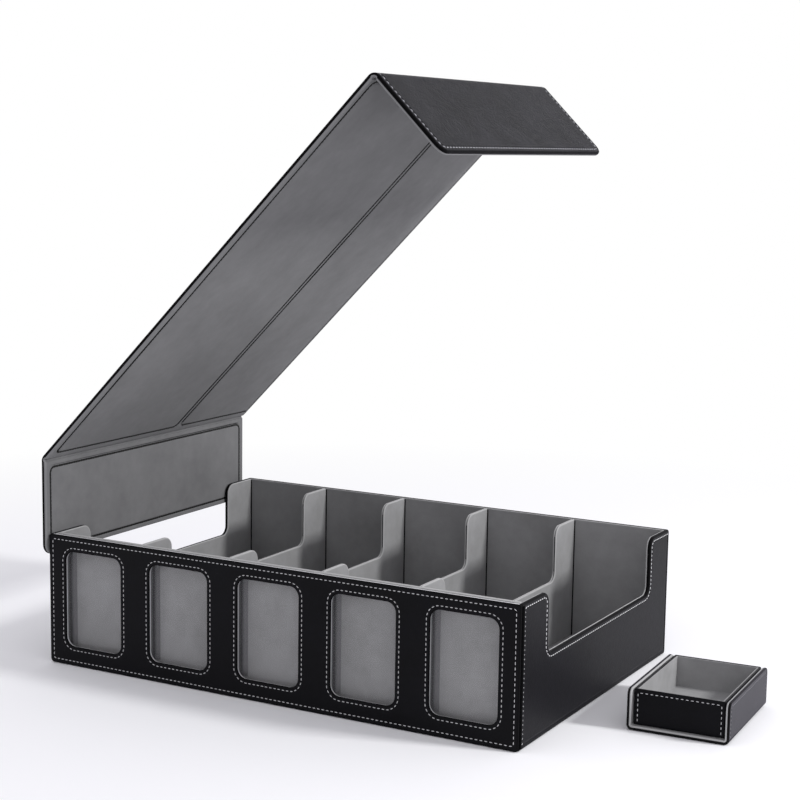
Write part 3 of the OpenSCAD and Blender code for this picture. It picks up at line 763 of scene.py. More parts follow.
def scooped(y0, y1, z0, top, out=0.0):
    """Corners of an upright sheet with a scoop in its top edge, drawn larger by out."""
    back, front, low = SCOOP_BACK_Y + out, SCOOP_FRONT_Y - out, SCOOP_LOW - out
    return [(y0, z0), (y1, z0), (y1, top), (back, top), (back, low), (front, low), (front, top),
            (y0, top)]


def scoop_radii(front_r, back_r=1.5):
    """Radii of those corners, with its own at the upper front and upper back corner."""
    return [1.2, 1.2, back_r, SCOOP_TOP_R, SCOOP_LOW_R, SCOOP_LOW_R, SCOOP_TOP_R, front_r]


# The side walls' seam runs along the top edge, down into the scoop and out, and down the front.
# Its outline starts with three corners far off, which are then left out
WALL_SEAM, WALL_SEAM_LOW = 3.6, 3.0
WALL_SEAM_Y = FRONT_Y + WALL_SEAM + 4
WALL_STITCH = (3.5, 2.6, 0.85)
WALL_STITCH_SINK = 0.3
WALL_DIP = [(WALL_SEAM + past, drop) for past, drop in
            ((-1.3, 0), (-0.6, 0.22), (0, 0.32), (0.6, 0.22), (1.3, 0), (1.8, 0))]
WALL_ROLL, LINING_ROLL = (0.5, 1.4), (0.3, 0.6)
wall_corners = scooped(FRONT_Y + FRONT_SKIN + 0.1, BACK_Y - 0.6, 0, BOX_H)
lining_corners = scooped(FRONT_IN_Y + 0.3, BACK_IN_Y + 0.2, LINING_BOTTOM, BOX_H - 0.3)
seam_top_r, seam_low_r = SCOOP_TOP_R - WALL_SEAM, SCOOP_LOW_R + WALL_SEAM
wall_seam = outline(scooped(WALL_SEAM_Y, BACK_Y + 30, -30, BOX_H - WALL_SEAM, WALL_SEAM),
                    [0, 0, 0, seam_top_r, seam_low_r, seam_low_r, seam_top_r, 2.5])
wall_seam = np.vstack([[BACK_Y - 2, BOX_H - WALL_SEAM], wall_seam[3:],
                       [WALL_SEAM_Y, WALL_SEAM_LOW]])

# Cross-section of a black strip along the corner between front wall and side wall: a darker, duller
# leather that paints shade where the side wall would catch the light
FRONT_CORNER_SHADE_SECTION = [(1.4, -1.0), (6.2, -1.0), (6.2, -0.1), (5.9, 0.1), (1.8, 0.1), (1.4, -0.1)]
CORNER_SHADE_END = 1.5
for side, sign in (("left", -1), ("right", 1)):
    place = Place((sign * (HALF_W - WALL_COVER_T), 0, 0), BACKWARDS, UP, (sign, 0, 0))
    wall = panel(f"{side}_wall_leather", place, wall_corners, scoop_radii(2.0), 0, WALL_COVER_T,
                 WALL_ROLL, LEATHER, "box", lips=WALL_DIP)
    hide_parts(f"{side}_wall_cover")
    place_in = Place((sign * (INNER_HALF_W + LINING_T), 0, 0), BACKWARDS, UP, (-sign, 0, 0))
    sheet = panel(f"{side}_wall_lining_sheet", place_in, lining_corners, scoop_radii(1.5), 0,
                  LINING_T, LINING_ROLL, LINING_PAINTED_LIGHTER, "box")
    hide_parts(f"{side}_wall_lining")
    stitches(f"{side}_wall_stitches",
             [on_place(place, wall_seam, WALL_COVER_T - WALL_STITCH_SINK)],
             WALL_STITCH, THREAD, "box")
    swept(f"{side}_front_corner_shade_strip", FRONT_CORNER_SHADE_SECTION,
          [((sign * HALF_W, FRONT_Y, z), BACKWARDS, (sign, 0, 0))
           for z in (BOX_H - CORNER_SHADE_END, CORNER_SHADE_END)[::sign]], CORNER_SHADE_LEATHER, "box")

BACK_SEAM, BACK_DIP, BACK_STITCH_SINK = 4, 0.3, 0.38
BACK_STITCH = (3.5, 2.3, 0.8)
back_place = Place((0, BACK_Y - WALL_COVER_T, 0), RIGHT, UP, BACKWARDS)
back_seam = moved(front_corners, -BACK_SEAM)
back_wall = panel("back_wall_leather", back_place, front_corners, [2.5, 2.5, 2.0, 2.0], 0,
                  WALL_COVER_T, WALL_ROLL, LEATHER, "box",
                  loops=[dict(kind="sewn", corners=back_seam, radii=EDGE_SEAM_R, depth=BACK_DIP,
                              reach=DIP_REACH)])
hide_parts("back_cover")
stitches("back_stitches",
         [run_round(back_place, back_seam, EDGE_SEAM_R, WALL_COVER_T - BACK_STITCH_SINK)],
         BACK_STITCH, WALL_THREAD, "box")
back_lining = panel(
    "back_wall_lining_sheet", Place((0, BACK_IN_Y + LINING_T, 0), RIGHT, UP, -BACKWARDS),
    box_corners(-HALF_W + 0.4, LINING_BOTTOM, HALF_W - 0.4, BOX_H - 0.3), 1.5, 0, LINING_T,
    LINING_ROLL, LINING_PAINTED_LIGHTER, "box")
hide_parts("back_lining")

# The bottom leather ends short of the walls, which come down round it
BOTTOM_SHORT, BOTTOM_FRONT_SHORT = 3.2, 2.2
bottom = panel(
    "bottom_leather", Place((0, 0, LEATHER_T), RIGHT, -BACKWARDS, -UP),
    box_corners(-HALF_W + BOTTOM_SHORT, -BACK_Y + BOTTOM_SHORT, HALF_W - BOTTOM_SHORT,
                -FRONT_Y - BOTTOM_FRONT_SHORT), 1.0, 0, LEATHER_T, (0.1, 0.3), LEATHER, "box")
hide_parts("base_cover")

# Dividers: two napped skins that meet in a grooved seam all round their edge
DIVIDER_EDGE, DIVIDER_FRONT_R = 0.8, SCOOP_TOP_R * 0.3
HALF_T = DIVIDER_T / 2
DIVIDER_SEAM = [(0.2, -0.25), (1.5, -0.15), (1.5, 0.35), (0.2, 0.55)]
divider_profile = [(DIVIDER_EDGE + FLAT, -HALF_T), *roll_up(DIVIDER_EDGE, -HALF_T), *DIVIDER_SEAM,
                   *roll_over(DIVIDER_EDGE, HALF_T), (DIVIDER_EDGE + FLAT, HALF_T)]
# Cross-sections of two black strips: a binding in the seam of an upright edge, and a strip in a bay's
# back corner that paints the corner's shade
BINDING = [(-0.15, 0.05), (0.6, 0.05), (0.4, 1.4), (-0.1, 1.4)]
CORNER_SHADE_SECTION = [(-0.2, -0.2), (0.9, -0.2), (0.9, 0.1), (0.4, 0.5), (-0.2, 0.8)]
for i, x in enumerate(DIVIDER_X, 1):
    shell = Shell()
    low_rim, high_rim = shell.rings(scooped(BAY_FRONT_Y, BACK_IN_Y, FLOOR_Z, INNER_TOP),
                                    scoop_radii(DIVIDER_FRONT_R, 1.0), divider_profile,
                                    turned=DIVIDER_EDGE + FLAT)
    shell.faces += filled([high_rim]) + filled([low_rim], upwards=False)
    divider = shell.piece(f"divider_{i}_skins", Place((x, 0, 0), BACKWARDS, UP, RIGHT), LINING_PAINTED_LIGHTER,
                          "box")
    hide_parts(f"divider_{i}", f"divider_{i}_lining")
    swept(f"divider_{i}_binding", BINDING,
          [((x, SCOOP_BACK_Y, z), RIGHT, BACKWARDS)
           for z in (SCOOP_LOW + SCOOP_LOW_R, INNER_TOP - SCOOP_TOP_R)], LEATHER, "box")
# A black strip in each back corner of a bay is painted shade where the divider meets the back wall
for i, x in enumerate(BAY_X, 1):
    for side, sign in (("left", 1), ("right", -1)):
        corner_x = x - sign * (BAY_PITCH - DIVIDER_T) / 2
        swept(f"bay_{i}_{side}_corner_binding", CORNER_SHADE_SECTION,
              [((corner_x, BACK_IN_Y, z), (sign, 0, 0), -BACKWARDS)
               for z in (INNER_TOP - 1, FLOOR_Z)[::sign]], LEATHER, "box")

# Lid

top_u = np.array([math.cos(LID_OPEN), 0, math.sin(LID_OPEN)])
top_w = np.array([-math.sin(LID_OPEN), 0, math.cos(LID_OPEN)])
fold_line = np.array([FOLD_X, 0, FOLD_Z])
side_place = Place(fold_line, UP, BACKWARDS, -RIGHT)
top_place = Place(fold_line, top_u, BACKWARDS, top_w)
flap_place = Place(fold_line + LID_RUN * top_u, -top_w, BACKWARDS, top_u)


def facing_in(place, depth):
    """The same drawing seen from inside, its heights counted inwards from a depth."""
    return Place(place(np.array([0, 0, -depth])), place.axes[0], place.axes[1], -place.axes[2])


def from_fold(way, near, far, side):
    """Rectangle between two distances from a panel's fold line, side mm in from both its ends."""
    u0, u1 = sorted((way * near, way * far))
    return box_corners(u0, LID_FRONT_Y + side, u1, LID_BACK_Y - side)


# Rolls at the hidden and the seen edge of a skin, and of the lining, which is a little smaller
SKIN_ROLL, LID_LINING_ROLL = (0.3, 1.6), (0.2, 1.2)
LINING_SHORT = 0.2
LID_EDGE_DIP = [(3.0, 0.0), (3.7, 0.25), (4.4, 0.35), (5.1, 0.25), (5.9, 0.0), (6.5, 0.0)]
# Inside, a seam runs round each panel, this far from its front and back, free edge and fold
LID_SEAM, LID_FREE_SEAM, LID_FOLD_SEAM = 6.5, 5.0, 1.8
LID_SEAM_R, LID_DIP, LID_DIP_REACH = 5.0, 0.8, 1.7
PANEL_STITCH = (3.2, 5.6, 2.1)
PANEL_STITCH_H = -0.75
INNER_STITCH = (3.2, 4.2, 1.5)
INNER_STITCH_H = -0.45
OUT_SEAM = 4.2
OUT_STITCH = (4.6, 3.2, 1.2)
OUT_STITCH_H = -0.45

# Side panel and flap: u runs away from the fold, and one of their edges goes on into the fold
lid_panels = {
    "lid_side": (side_place, [LID_CORNER_R, 0, 0, LID_CORNER_R], 1, -1),
    "lid_flap": (flap_place, [0, LID_CORNER_R, LID_CORNER_R, 0], 3, 1),
}
for name, (place, radii, cut, way) in lid_panels.items():
    skin = panel(f"{name}_leather", place, from_fold(way, SETBACK, PANEL_H, 0), radii, -LID_SKIN,
                 0, SKIN_ROLL, LID_LEATHER_PAINTED_LIGHTER, name, cut=(cut,), lips=LID_EDGE_DIP)
    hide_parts(f"{name}_cover")
    inside = facing_in(place, LID_SKIN)
    seam = from_fold(way, SETBACK + LID_FOLD_SEAM, PANEL_H - LID_FREE_SEAM, LID_SEAM)
    sheet = panel(f"{name}_lining_sheet", inside,
                  from_fold(way, SETBACK, PANEL_H - LINING_SHORT, LINING_SHORT),
                  [max(r - LINING_SHORT, 0) for r in radii], 0, LID_T - LID_SKIN,
                  LID_LINING_ROLL, LID_LINING, name, cut=(cut,),
                  loops=[dict(kind="sewn", corners=seam, radii=LID_SEAM_R, depth=LID_DIP,
                              reach=LID_DIP_REACH)])
    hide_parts(f"{name}_lining")
    stitches(f"{name}_inner_stitches",
             [run_round(inside, seam, LID_SEAM_R, LID_T - LID_SKIN + PANEL_STITCH_H)],
             PANEL_STITCH, BLACK_THREAD, name)
    near, far = way * SETBACK, way * (PANEL_H - OUT_SEAM)
    front, back = LID_FRONT_Y + OUT_SEAM, LID_BACK_Y - OUT_SEAM
    path = outline([(near, front), (far, front), (far, back), (near, back)],
                   [0, LID_SEAM_R, LID_SEAM_R, 0])
    stitches(f"{name}_outer_stitches", [on_place(place, path, OUT_STITCH_H)], OUT_STITCH,
             WALL_THREAD, name)

# Cross-sections of the lid's top and folds in (y, depth), counterclockwise seen from its far end


def leather_section():
    """Leather skin: rolled outer corners, a dip beside each edge, square at its hidden side."""
    under, over = SKIN_ROLL
    edge = [*roll_up(under, -LID_SKIN), *roll_over(over, 0), (over + FLAT, 0),
            *[(inset, -drop) for inset, drop in LID_EDGE_DIP]]
    front = [(LID_FRONT_Y + inset, h) for inset, h in edge]
    back = [(LID_BACK_Y - inset, h) for inset, h in edge]
    return np.array(back + front[::-1])


# The top panel's lining has two sewn fields. Its mesh has close lines beside each seam, so that
# the dips show, and wide ones in the fields
SEAM_FRONT_Y, SEAM_BACK_Y = LID_FRONT_Y + LID_SEAM, LID_BACK_Y - 3.0
SEAM_MID_Y = (20.0, 25.6)
SEAM_NEAR_U, SEAM_FAR_U = 10.0, 435.0
SEAM_LINES = np.arange(-2.4, 2.41, 0.4)
ROUND_LINES = np.arange(3.2, 9, 0.8)
top_seams = [outline(box_corners(SEAM_NEAR_U, y0, SEAM_FAR_U, y1), LID_SEAM_R)
             for y0, y1 in ((SEAM_FRONT_Y, SEAM_MID_Y[0]), (SEAM_MID_Y[1], SEAM_BACK_Y))]


def lining_section():
    """Lining: its hidden side lies on the skin, and its inner face has close lines by the seams."""
    short = LINING_SHORT
    edge = [(i, -LID_SKIN - h) for i, h in roll_over(LID_LINING_ROLL[1], LID_T - LID_SKIN, short)]
    y0, y1 = LID_FRONT_Y, LID_BACK_Y
    across = [y0 + 2.0, *(SEAM_FRONT_Y + SEAM_LINES), *(SEAM_FRONT_Y + np.arange(4, 9, 1.5)),
              *np.linspace(-135, 15, 18), *np.linspace(SEAM_MID_Y[0] - 2.6, SEAM_MID_Y[1] + 2.6, 27),
              *np.linspace(38, 126, 11), *(SEAM_BACK_Y + SEAM_LINES[:10])]
    front = [(y0 + i, h) for i, h in edge]
    back = [(y1 - i, h) for i, h in edge]
    face = [(y, -LID_T) for y in across if y0 + 1.5 < y < y1 - 1.5]
    return np.array([(y0 + short, -LID_SKIN), *front, *face, *back[::-1],
                     (y1 - short, -LID_SKIN)])


def distance_to(path, u, v):
    """Distance of points (u, v) to a closed 2-D path."""
    a, b = path, np.roll(path, -1, 0)
    d = b - a
    p = np.stack([np.broadcast_to(u, v.shape), v], -1)[:, None, :] - a[None]
    t = np.clip((p * d).sum(-1) / np.maximum((d * d).sum(-1), 1e-9), 0, 1)
    return np.linalg.norm(p - t[..., None] * d[None], axis=-1).min(1)


TOP_END = LID_RUN - SETBACK
top_stations_u = np.unique(np.round(np.r_[
    SETBACK, SEAM_NEAR_U + SEAM_LINES, SEAM_NEAR_U + ROUND_LINES, np.linspace(21, 424, 32),
    SEAM_FAR_U - ROUND_LINES, SEAM_FAR_U + SEAM_LINES[:11], TOP_END], 3))
TOP_DIP, TOP_DIP_REACH = 0.8, 1.1
TOP_WAVE, TOP_WAVE_RISE = 0.12, 15


def top_lining_depth(k, v, h):
    """Inner face: a sewn dip along each seam, and slow waves where the lining isn't glued.

    Dip = depth exp(-(distance / reach)^2), and wave = height (sin(u/31 + v/57) sin(v/23 - u/90) - 1),
    which rises from 0 over the first TOP_WAVE_RISE mm from each fold.
    """
    u = top_stations_u[k]
    seen = h < -LID_T + 0.05
    gap = np.minimum(distance_to(top_seams[0], u, v), distance_to(top_seams[1], u, v))
    dip = TOP_DIP * np.exp(-((gap / TOP_DIP_REACH) ** 2))
    calm = np.clip(np.minimum(u - SETBACK, TOP_END - u) / TOP_WAVE_RISE, 0, 1)
    wave = TOP_WAVE * calm * (np.sin(u / 31 + v / 57) * np.sin(v / 23 - u / 90) - 1)
    inner = (v > LID_FRONT_Y + 1.9) & (v < LID_BACK_Y - 1.9)
    return np.where(seen & inner, h + dip - wave, h)


def top_stations(distances):
    """Stations of the top panel at those distances from its fold line."""
    return [(top_place((u, 0, 0)), BACKWARDS, top_w) for u in distances]


top_skin = swept("lid_top_leather", leather_section(), top_stations((SETBACK, TOP_END)),
                 LID_LEATHER_PAINTED_LIGHTER, "lid_top")
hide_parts("lid_top_cover")
top_lining = swept("lid_top_lining_sheet", lining_section(), top_stations(top_stations_u),
                   LID_LINING, "lid_top", top_lining_depth)
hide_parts("lid_top_lining")

top_inside = facing_in(top_place, LID_T)
stitches("lid_top_inner_stitches",
         [on_place(top_inside, path, INNER_STITCH_H) for path in (
             closed(top_seams[0]),
             [(SEAM_FAR_U, SEAM_BACK_Y), (SEAM_FAR_U, SEAM_MID_Y[1] + LID_SEAM_R)],
             [(SEAM_FAR_U - LID_SEAM_R, SEAM_MID_Y[1]), (SEAM_NEAR_U + LID_SEAM_R, SEAM_MID_Y[1])],
             [(SEAM_NEAR_U, SEAM_MID_Y[1] + LID_SEAM_R), (SEAM_NEAR_U, SEAM_BACK_Y)])],
         INNER_STITCH, BLACK_THREAD, "lid_top")
stitches("lid_top_outer_stitches",
         [on_place(top_place, [(SETBACK, y), (TOP_END, y)], OUT_STITCH_H)
          for y in (LID_FRONT_Y + OUT_SEAM, LID_BACK_Y - OUT_SEAM)],
         OUT_STITCH, WALL_THREAD, "lid_top")

# Folds: straight on from one panel, round an arc, and straight into the next one. The skin thins
# by a share towards the middle. Of the lining LINING_STAYS doesn't thin with it, and a crease
# pinches it in the middle
FOLD_STEPS = 28
FOLD_THIN, THIN_REACH = 0.35, 0.28
LINING_STAYS = 0.45
CREASE_PINCH, CREASE_REACH = 0.4, 0.05
SIDE_BEND = 3.5


def smooth(t):
    """Rises from 0 to 1 with level ends: t^2 (3 - 2 t)."""
    t = np.clip(t, 0, 1)
    return t * t * (3 - 2 * t)


def arc_stations(centre, radius, first, last, before, after):
    """Stations round an axis along Y, with one straight step on either side where it is given.

    Outer point = centre + radius (cos a, sin a) in X and Z, for a from first to last degrees.
    """
    angles = np.radians(np.linspace(first, last, FOLD_STEPS - 1))
    out = [np.array([math.cos(a), 0, math.sin(a)]) for a in angles]
    points = [np.array(centre) + radius * o for o in out]
    return [(point, BACKWARDS, o) for point, o in
            zip([before, *points, after], [out[0], *out, out[-1]])]


def share_left(k):
    """Share of the skin's thickness at station k: 1 at the ends, and less between them."""
    t = k / FOLD_STEPS
    return 1 - FOLD_THIN * smooth(t / THIN_REACH) * smooth((1 - t) / THIN_REACH)


def fold_skin_depth(k, v, h):
    """The skin thins towards its outer face."""
    return h * share_left(k)


def fold_lining_depth(k, v, h):
    """The lining lies on the thinned skin, thins with it, and is pinched at the crease."""
    crease = 1 - CREASE_PINCH * math.exp(-(((k / FOLD_STEPS - 0.5) / CREASE_REACH) ** 2))
    share = LINING_STAYS + (1 - LINING_STAYS) * share_left(k)
    return -LID_SKIN * share_left(k) + (h + LID_SKIN) * share * crease


side_turn = math.pi / 2 - LID_OPEN
side_r = SIDE_BEND / math.tan(side_turn / 2)
side_ends = (side_place((-SETBACK, 0, 0)), top_place((SETBACK, 0, 0)))
flap_ends = (top_place((TOP_END, 0, 0)), flap_place((SETBACK, 0, 0)))
side_arc = arc_stations((FOLD_X + side_r, 0, FOLD_Z - SIDE_BEND), side_r, 180,
                        180 - math.degrees(side_turn), *side_ends)
flap_arc = arc_stations(top_place((TOP_END, 0, -SETBACK)), SETBACK,
                        90 + math.degrees(LID_OPEN), math.degrees(LID_OPEN), *flap_ends)
# The side fold turns between its inner corners, so that it stays clear of the wall when turned
# back. The flap's fold starts and ends on its arc, so it has no straight steps
side_inner_ends = (side_place((-SETBACK, 0, -LID_T)), top_place((SETBACK, 0, -LID_T)))
folds = {"side_fold": (side_arc, ("lid_side", "lid_top"), side_inner_ends),
         "flap_fold": (flap_arc[1:-1], ("lid_top", "lid_flap"), flap_ends)}
for name, (arc, bodies, ends) in folds.items():
    skin = swept(f"{name}_skin", leather_section(), arc, LID_LEATHER_PAINTED_LIGHTER, bodies, fold_skin_depth)
    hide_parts(f"{name}_leather")
    sheet = swept(f"{name}_lining_sheet", lining_section(), arc, LID_LINING, bodies,
                  fold_lining_depth)
    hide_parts(f"{name}_lining")
    runs = [([o + y * BACKWARDS + OUT_STITCH_H * w for o, _, w in arc], [w for _, _, w in arc])
            for y in (LID_FRONT_Y + OUT_SEAM, LID_BACK_Y - OUT_SEAM)]
    thread = stitches(f"{name}_stitches", runs, OUT_STITCH, WALL_THREAD, bodies)
    for piece in (skin, sheet, thread):
        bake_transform(piece)

# Small sleeve and tray

ACROSS = math.cos(SLEEVE_TURN) * RIGHT + math.sin(SLEEVE_TURN) * BACKWARDS
INWARDS = math.cos(SLEEVE_TURN) * BACKWARDS - math.sin(SLEEVE_TURN) * RIGHT
sleeve_at = np.array([*SLEEVE_AT, 0.0])


def in_sleeve(x, y, z):
    """A point given by its distances across, into and above the sleeve's near left corner."""
    return sleeve_at + x * ACROSS + y * INWARDS + z * UP


SLEEVE_ROLL, SLEEVE_LINING_ROLL = (0.2, 0.6), (0.1, 0.7)
SLEEVE_LINING_T = SLEEVE_T - SLEEVE_SKIN
SLEEVE_DIP = [(2.4, 0.0), (2.9, 0.2), (3.5, 0.2), (4.0, 0.0), (4.5, 0.0)]
SLEEVE_SEAM, SLEEVE_SEAM_R, SLEEVE_STITCH_H = 3.5, 3.0, -0.2
SLEEVE_STITCH = (3.2, 2.2, 0.7)
left_fold_x, right_fold_x = SLEEVE_SETBACK, SLEEVE_W - SLEEVE_SETBACK
base_skin = panel("sleeve_base_leather", Place(in_sleeve(0, 0, 0), ACROSS, INWARDS, -UP),
                  box_corners(left_fold_x, 0, right_fold_x, SLEEVE_D), 0, -SLEEVE_SKIN, 0,
                  SLEEVE_ROLL, SLEEVE_LEATHER_PAINTED_LIGHTER, "sleeve", cut=(1, 3))
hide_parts("sleeve_base_cover")
base_lining = panel("sleeve_base_lining_sheet",
                    Place(in_sleeve(0, 0, SLEEVE_SKIN), ACROSS, INWARDS, UP),
                    box_corners(left_fold_x, LINING_SHORT, right_fold_x, SLEEVE_D - LINING_SHORT),
                    0, 0, SLEEVE_LINING_T, SLEEVE_LINING_ROLL, LINING_PAINTED_LIGHTER, "sleeve", cut=(1, 3))
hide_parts("sleeve_base_lining")


def sleeve_section(low, high, inset, low_roll, high_roll):
    """Cross-section of the sleeve's skin or lining between two depths, with rolled ends."""
    near = [*roll_up(low_roll, low, inset), *roll_over(high_roll, high, inset)]
    return np.array([(SLEEVE_D - i, h) for i, h in near] + near[::-1])


skin_section = sleeve_section(-SLEEVE_SKIN, 0, 0, *SLEEVE_ROLL)
lining_fold_section = sleeve_section(-SLEEVE_T, -SLEEVE_SKIN, LINING_SHORT, SLEEVE_ROLL[1],
                                     SLEEVE_LINING_ROLL[0])
sheet_corners = box_corners(LINING_SHORT, SLEEVE_SETBACK, SLEEVE_D - LINING_SHORT,
                            SLEEVE_H - LINING_SHORT)
sheet_r = SLEEVE_CORNER_R - LINING_SHORT
seam_corners = box_corners(SLEEVE_SEAM, SLEEVE_SETBACK, SLEEVE_D - SLEEVE_SEAM,
                           SLEEVE_H - SLEEVE_SEAM)
for side, x, fold_x, sign in (("left", 0, left_fold_x, 1), ("right", SLEEVE_W, right_fold_x, -1)):
    body = f"sleeve_{side}"
    place = Place(in_sleeve(x, 0, 0), INWARDS, UP, -sign * ACROSS)
    skin = panel(f"{body}_leather", place, box_corners(0, SLEEVE_SETBACK, SLEEVE_D, SLEEVE_H),
                 [0, 0, SLEEVE_CORNER_R, SLEEVE_CORNER_R], -SLEEVE_SKIN, 0, SLEEVE_ROLL,
                 SLEEVE_LEATHER_PAINTED_LIGHTER, body, cut=(0,), lips=SLEEVE_DIP)
    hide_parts(f"{body}_cover")
    sheet = panel(f"{body}_lining_sheet",
                  Place(in_sleeve(x + sign * SLEEVE_SKIN, 0, 0), INWARDS, UP, sign * ACROSS),
                  sheet_corners, [0, 0, sheet_r, sheet_r], 0, SLEEVE_LINING_T,
                  SLEEVE_LINING_ROLL, LINING_PAINTED_LIGHTER, body, cut=(0,))
    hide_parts(f"{body}_lining")
    stitches(f"{body}_stitches",
             [run_over(place, seam_corners, SLEEVE_SEAM_R, SLEEVE_STITCH_H)],
             SLEEVE_STITCH, SLEEVE_THREAD, body)
    # The fold turns a quarter from the flap under to the base
    arc = []
    for a in np.linspace(0, math.pi / 2, 15)[::sign]:
        out = -sign * math.cos(a) * ACROSS - math.sin(a) * UP
        arc.append((in_sleeve(fold_x, 0, SLEEVE_SETBACK) + SLEEVE_SETBACK * out, INWARDS, out))
    bodies = ("sleeve", body)
    skin = swept(f"{body}_fold_skin", skin_section, arc, SLEEVE_LEATHER_PAINTED_LIGHTER, bodies)
    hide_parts(f"{body}_fold")
    sheet = swept(f"{body}_fold_lining_sheet", lining_fold_section, arc, LINING_PAINTED_LIGHTER, bodies)
    for piece in (skin, sheet):
        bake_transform(piece)

# The tray's leather goes up outside, over the edge and down inside. Its lining covers the floor
# and the inside of the walls up to just under the edge, with a slack bend in the corner
TRAY_R, TRAY_ROLL, TRAY_LINING_ROLL = 1.6, 0.8, 0.35
tray_place = Place(in_sleeve(TRAY_IN, TRAY_FRONT, TRAY_Z), ACROSS, INWARDS, UP)
tray_corners = box_corners(0, 0, TRAY_W, TRAY_D)
shell = Shell()
over_edge = roll_over(TRAY_ROLL, TRAY_H)
profile = [(2.0, 0), *roll_up(TRAY_ROLL, 0), *over_edge,
           *[(TRAY_SKIN - i, h) for i, h in over_edge[::-1]], (TRAY_SKIN, TRAY_SKIN)]
bottom_rim, inner_rim = shell.rings(tray_corners, TRAY_R, profile)
shell.faces += filled([bottom_rim], upwards=False) + filled([inner_rim])
tray_leather = shell.piece("tray_leather", tray_place, LEATHER, "tray")
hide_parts("tray_cover")

shell = Shell()
wall_in = TRAY_SKIN + TRAY_LINING
over_edge = roll_over(TRAY_LINING_ROLL, TRAY_H - 0.3)
profile = [(TRAY_SKIN + 0.6, TRAY_SKIN), (TRAY_SKIN, TRAY_SKIN + 0.1),
           *[(TRAY_SKIN + i, h) for i, h in over_edge],
           *[(wall_in - i, h) for i, h in over_edge[::-1]],
           (wall_in, TRAY_SKIN + 2.2), (wall_in + 0.3, TRAY_SKIN + 1.4),
           (wall_in + 1.2, TRAY_SKIN + TRAY_LINING)]
low_rim, floor_rim = shell.rings(tray_corners, TRAY_R, profile)
shell.faces += filled([low_rim], upwards=False) + filled([floor_rim])
tray_lining = shell.piece("tray_lining_sheet", tray_place, LINING_PAINTED_LIGHTER, "tray")
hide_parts("tray_lining")

TRAY_SEAM, TRAY_SEAM_LOW, TRAY_SEAM_R = 3.0, 1.5, 1.5
TRAY_STITCH = (4.0, 2.4, 0.6)
tray_seam = box_corners(TRAY_SEAM, TRAY_SEAM_LOW, TRAY_W - TRAY_SEAM, TRAY_H - TRAY_SEAM)
stitches("tray_stitches",
         [run_over(Place(in_sleeve(TRAY_IN, y, TRAY_Z), ACROSS, UP, out), tray_seam, TRAY_SEAM_R, 0)
          for y, out in ((TRAY_FRONT, -INWARDS), (TRAY_FRONT + TRAY_D, INWARDS))],
         TRAY_STITCH, THREAD, "tray")

# CAD nodes that stay

for name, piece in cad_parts.items():
    if name.endswith("_lining") or name == "slot_spacers":
        finish = LINING_PAINTED_LIGHTER
    elif name == "window_films":
        finish = FILM
    elif name.endswith("magnets"):
        finish = STEEL
    elif name.endswith(("board", "boards")) or name.startswith("divider"):
        finish = BOARD
    else:
        finish = LEATHER
    for held in piece.material_slots:
        held.material = finish
    if not piece.material_slots:
        piece.data.materials.append(finish)

# Floor, surround and light

FLOOR_SIZE, FLOOR_DROP = 30, 0.0004


def seen_share(tree):
    """1 where the camera looks, also in gloss or through glass, and 0 for light on matt surfaces."""
    rays = node(tree, "ShaderNodeLightPath").outputs
    seen = rays["Is Camera Ray"]
    for kind in ("Is Glossy Ray", "Is Transmission Ray"):
        seen = node(tree, "ShaderNodeMath", {0: seen, 1: rays[kind]}, operation="MAXIMUM").outputs[0]
    return seen


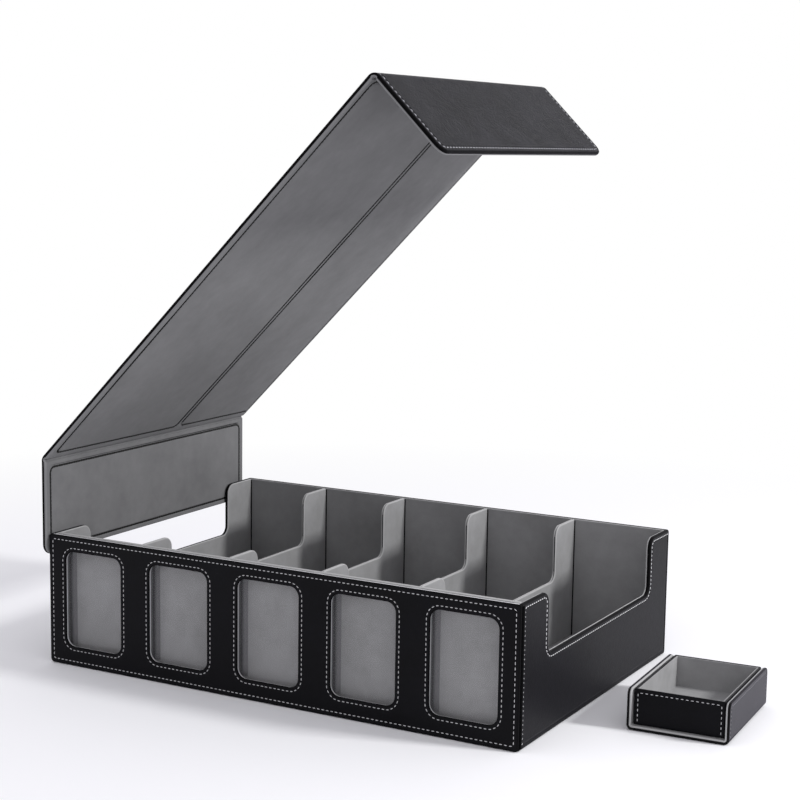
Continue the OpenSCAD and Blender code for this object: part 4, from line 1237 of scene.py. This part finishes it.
def make_floor():
    """A wide pale floor. Near the object it is lit and takes the shadow, and far off it is white.

    The share of white rises from 0 at 0.45 m from the middle to 1 at 1.1 m.
    """
    material, tree, place = new_material("studio_floor")
    away = node(tree, "ShaderNodeVectorMath", {0: place}, operation="LENGTH").outputs["Value"]
    far = node(tree, "ShaderNodeMapRange",
               {"Value": away, "From Min": 0.45, "From Max": 1.1}).outputs["Result"]
    base = node(tree, "ShaderNodeBsdfDiffuse", {"Color": colour("#f9f9fb")}).outputs[0]
    white = node(tree, "ShaderNodeEmission", {"Color": colour("#ffffff"), "Strength": 1.0}).outputs[0]
    share = node(tree, "ShaderNodeMath", {0: seen_share(tree), 1: far},
                 operation="MULTIPLY").outputs[0]
    mix = node(tree, "ShaderNodeMixShader", {0: share, 1: base, 2: white}).outputs[0]
    node(tree, "ShaderNodeOutputMaterial", {"Surface": mix})
    corners = box_corners(-FLOOR_SIZE, -FLOOR_SIZE, FLOOR_SIZE, FLOOR_SIZE)
    mesh = bpy.data.meshes.new("floor")
    mesh.from_pydata([(x, y, -FLOOR_DROP) for x, y in corners], [], [(0, 1, 2, 3)])
    mesh.materials.append(material)
    floor = bpy.data.objects.new("floor", mesh)
    bpy.context.scene.collection.objects.link(floor)


def make_world(strength):
    """An even white surround. The camera, gloss and glass see it white, matt surfaces at strength."""
    world = bpy.data.worlds.new("surround")
    world.use_nodes = True
    tree = world.node_tree
    tree.nodes.clear()
    seen = seen_share(tree)
    level = node(tree, "ShaderNodeMapRange",
                 {"Value": seen, "To Min": strength, "To Max": 1.0}).outputs["Result"]
    tint = node(tree, "ShaderNodeMix", {"Factor": seen, 6: colour("#fbfaff"), 7: colour("#ffffff")},
                data_type="RGBA").outputs[2]
    sky = node(tree, "ShaderNodeBackground", {"Color": tint, "Strength": level}).outputs[0]
    node(tree, "ShaderNodeOutputWorld", {"Surface": sky})
    bpy.context.scene.world = world


LIT_AT = (0, 0, 0.1)


def soft_light(name, at, size, power):
    """A square lamp aimed at the middle of the box."""
    data = bpy.data.lights.new(name, "AREA")
    data.shape = "SQUARE"
    data.size = size
    data.energy = power
    lamp = bpy.data.objects.new(name, data)
    lamp.location = at
    lamp.rotation_euler = (Vector(LIT_AT) - Vector(at)).to_track_quat("-Z", "Y").to_euler()
    bpy.context.scene.collection.objects.link(lamp)


make_floor()
make_world(strength=0.81)
soft_light("key_right", at=(1.95, 0.29, 1.17), size=0.3, power=31.6)
bpy.context.scene.view_settings.view_transform = "Standard"
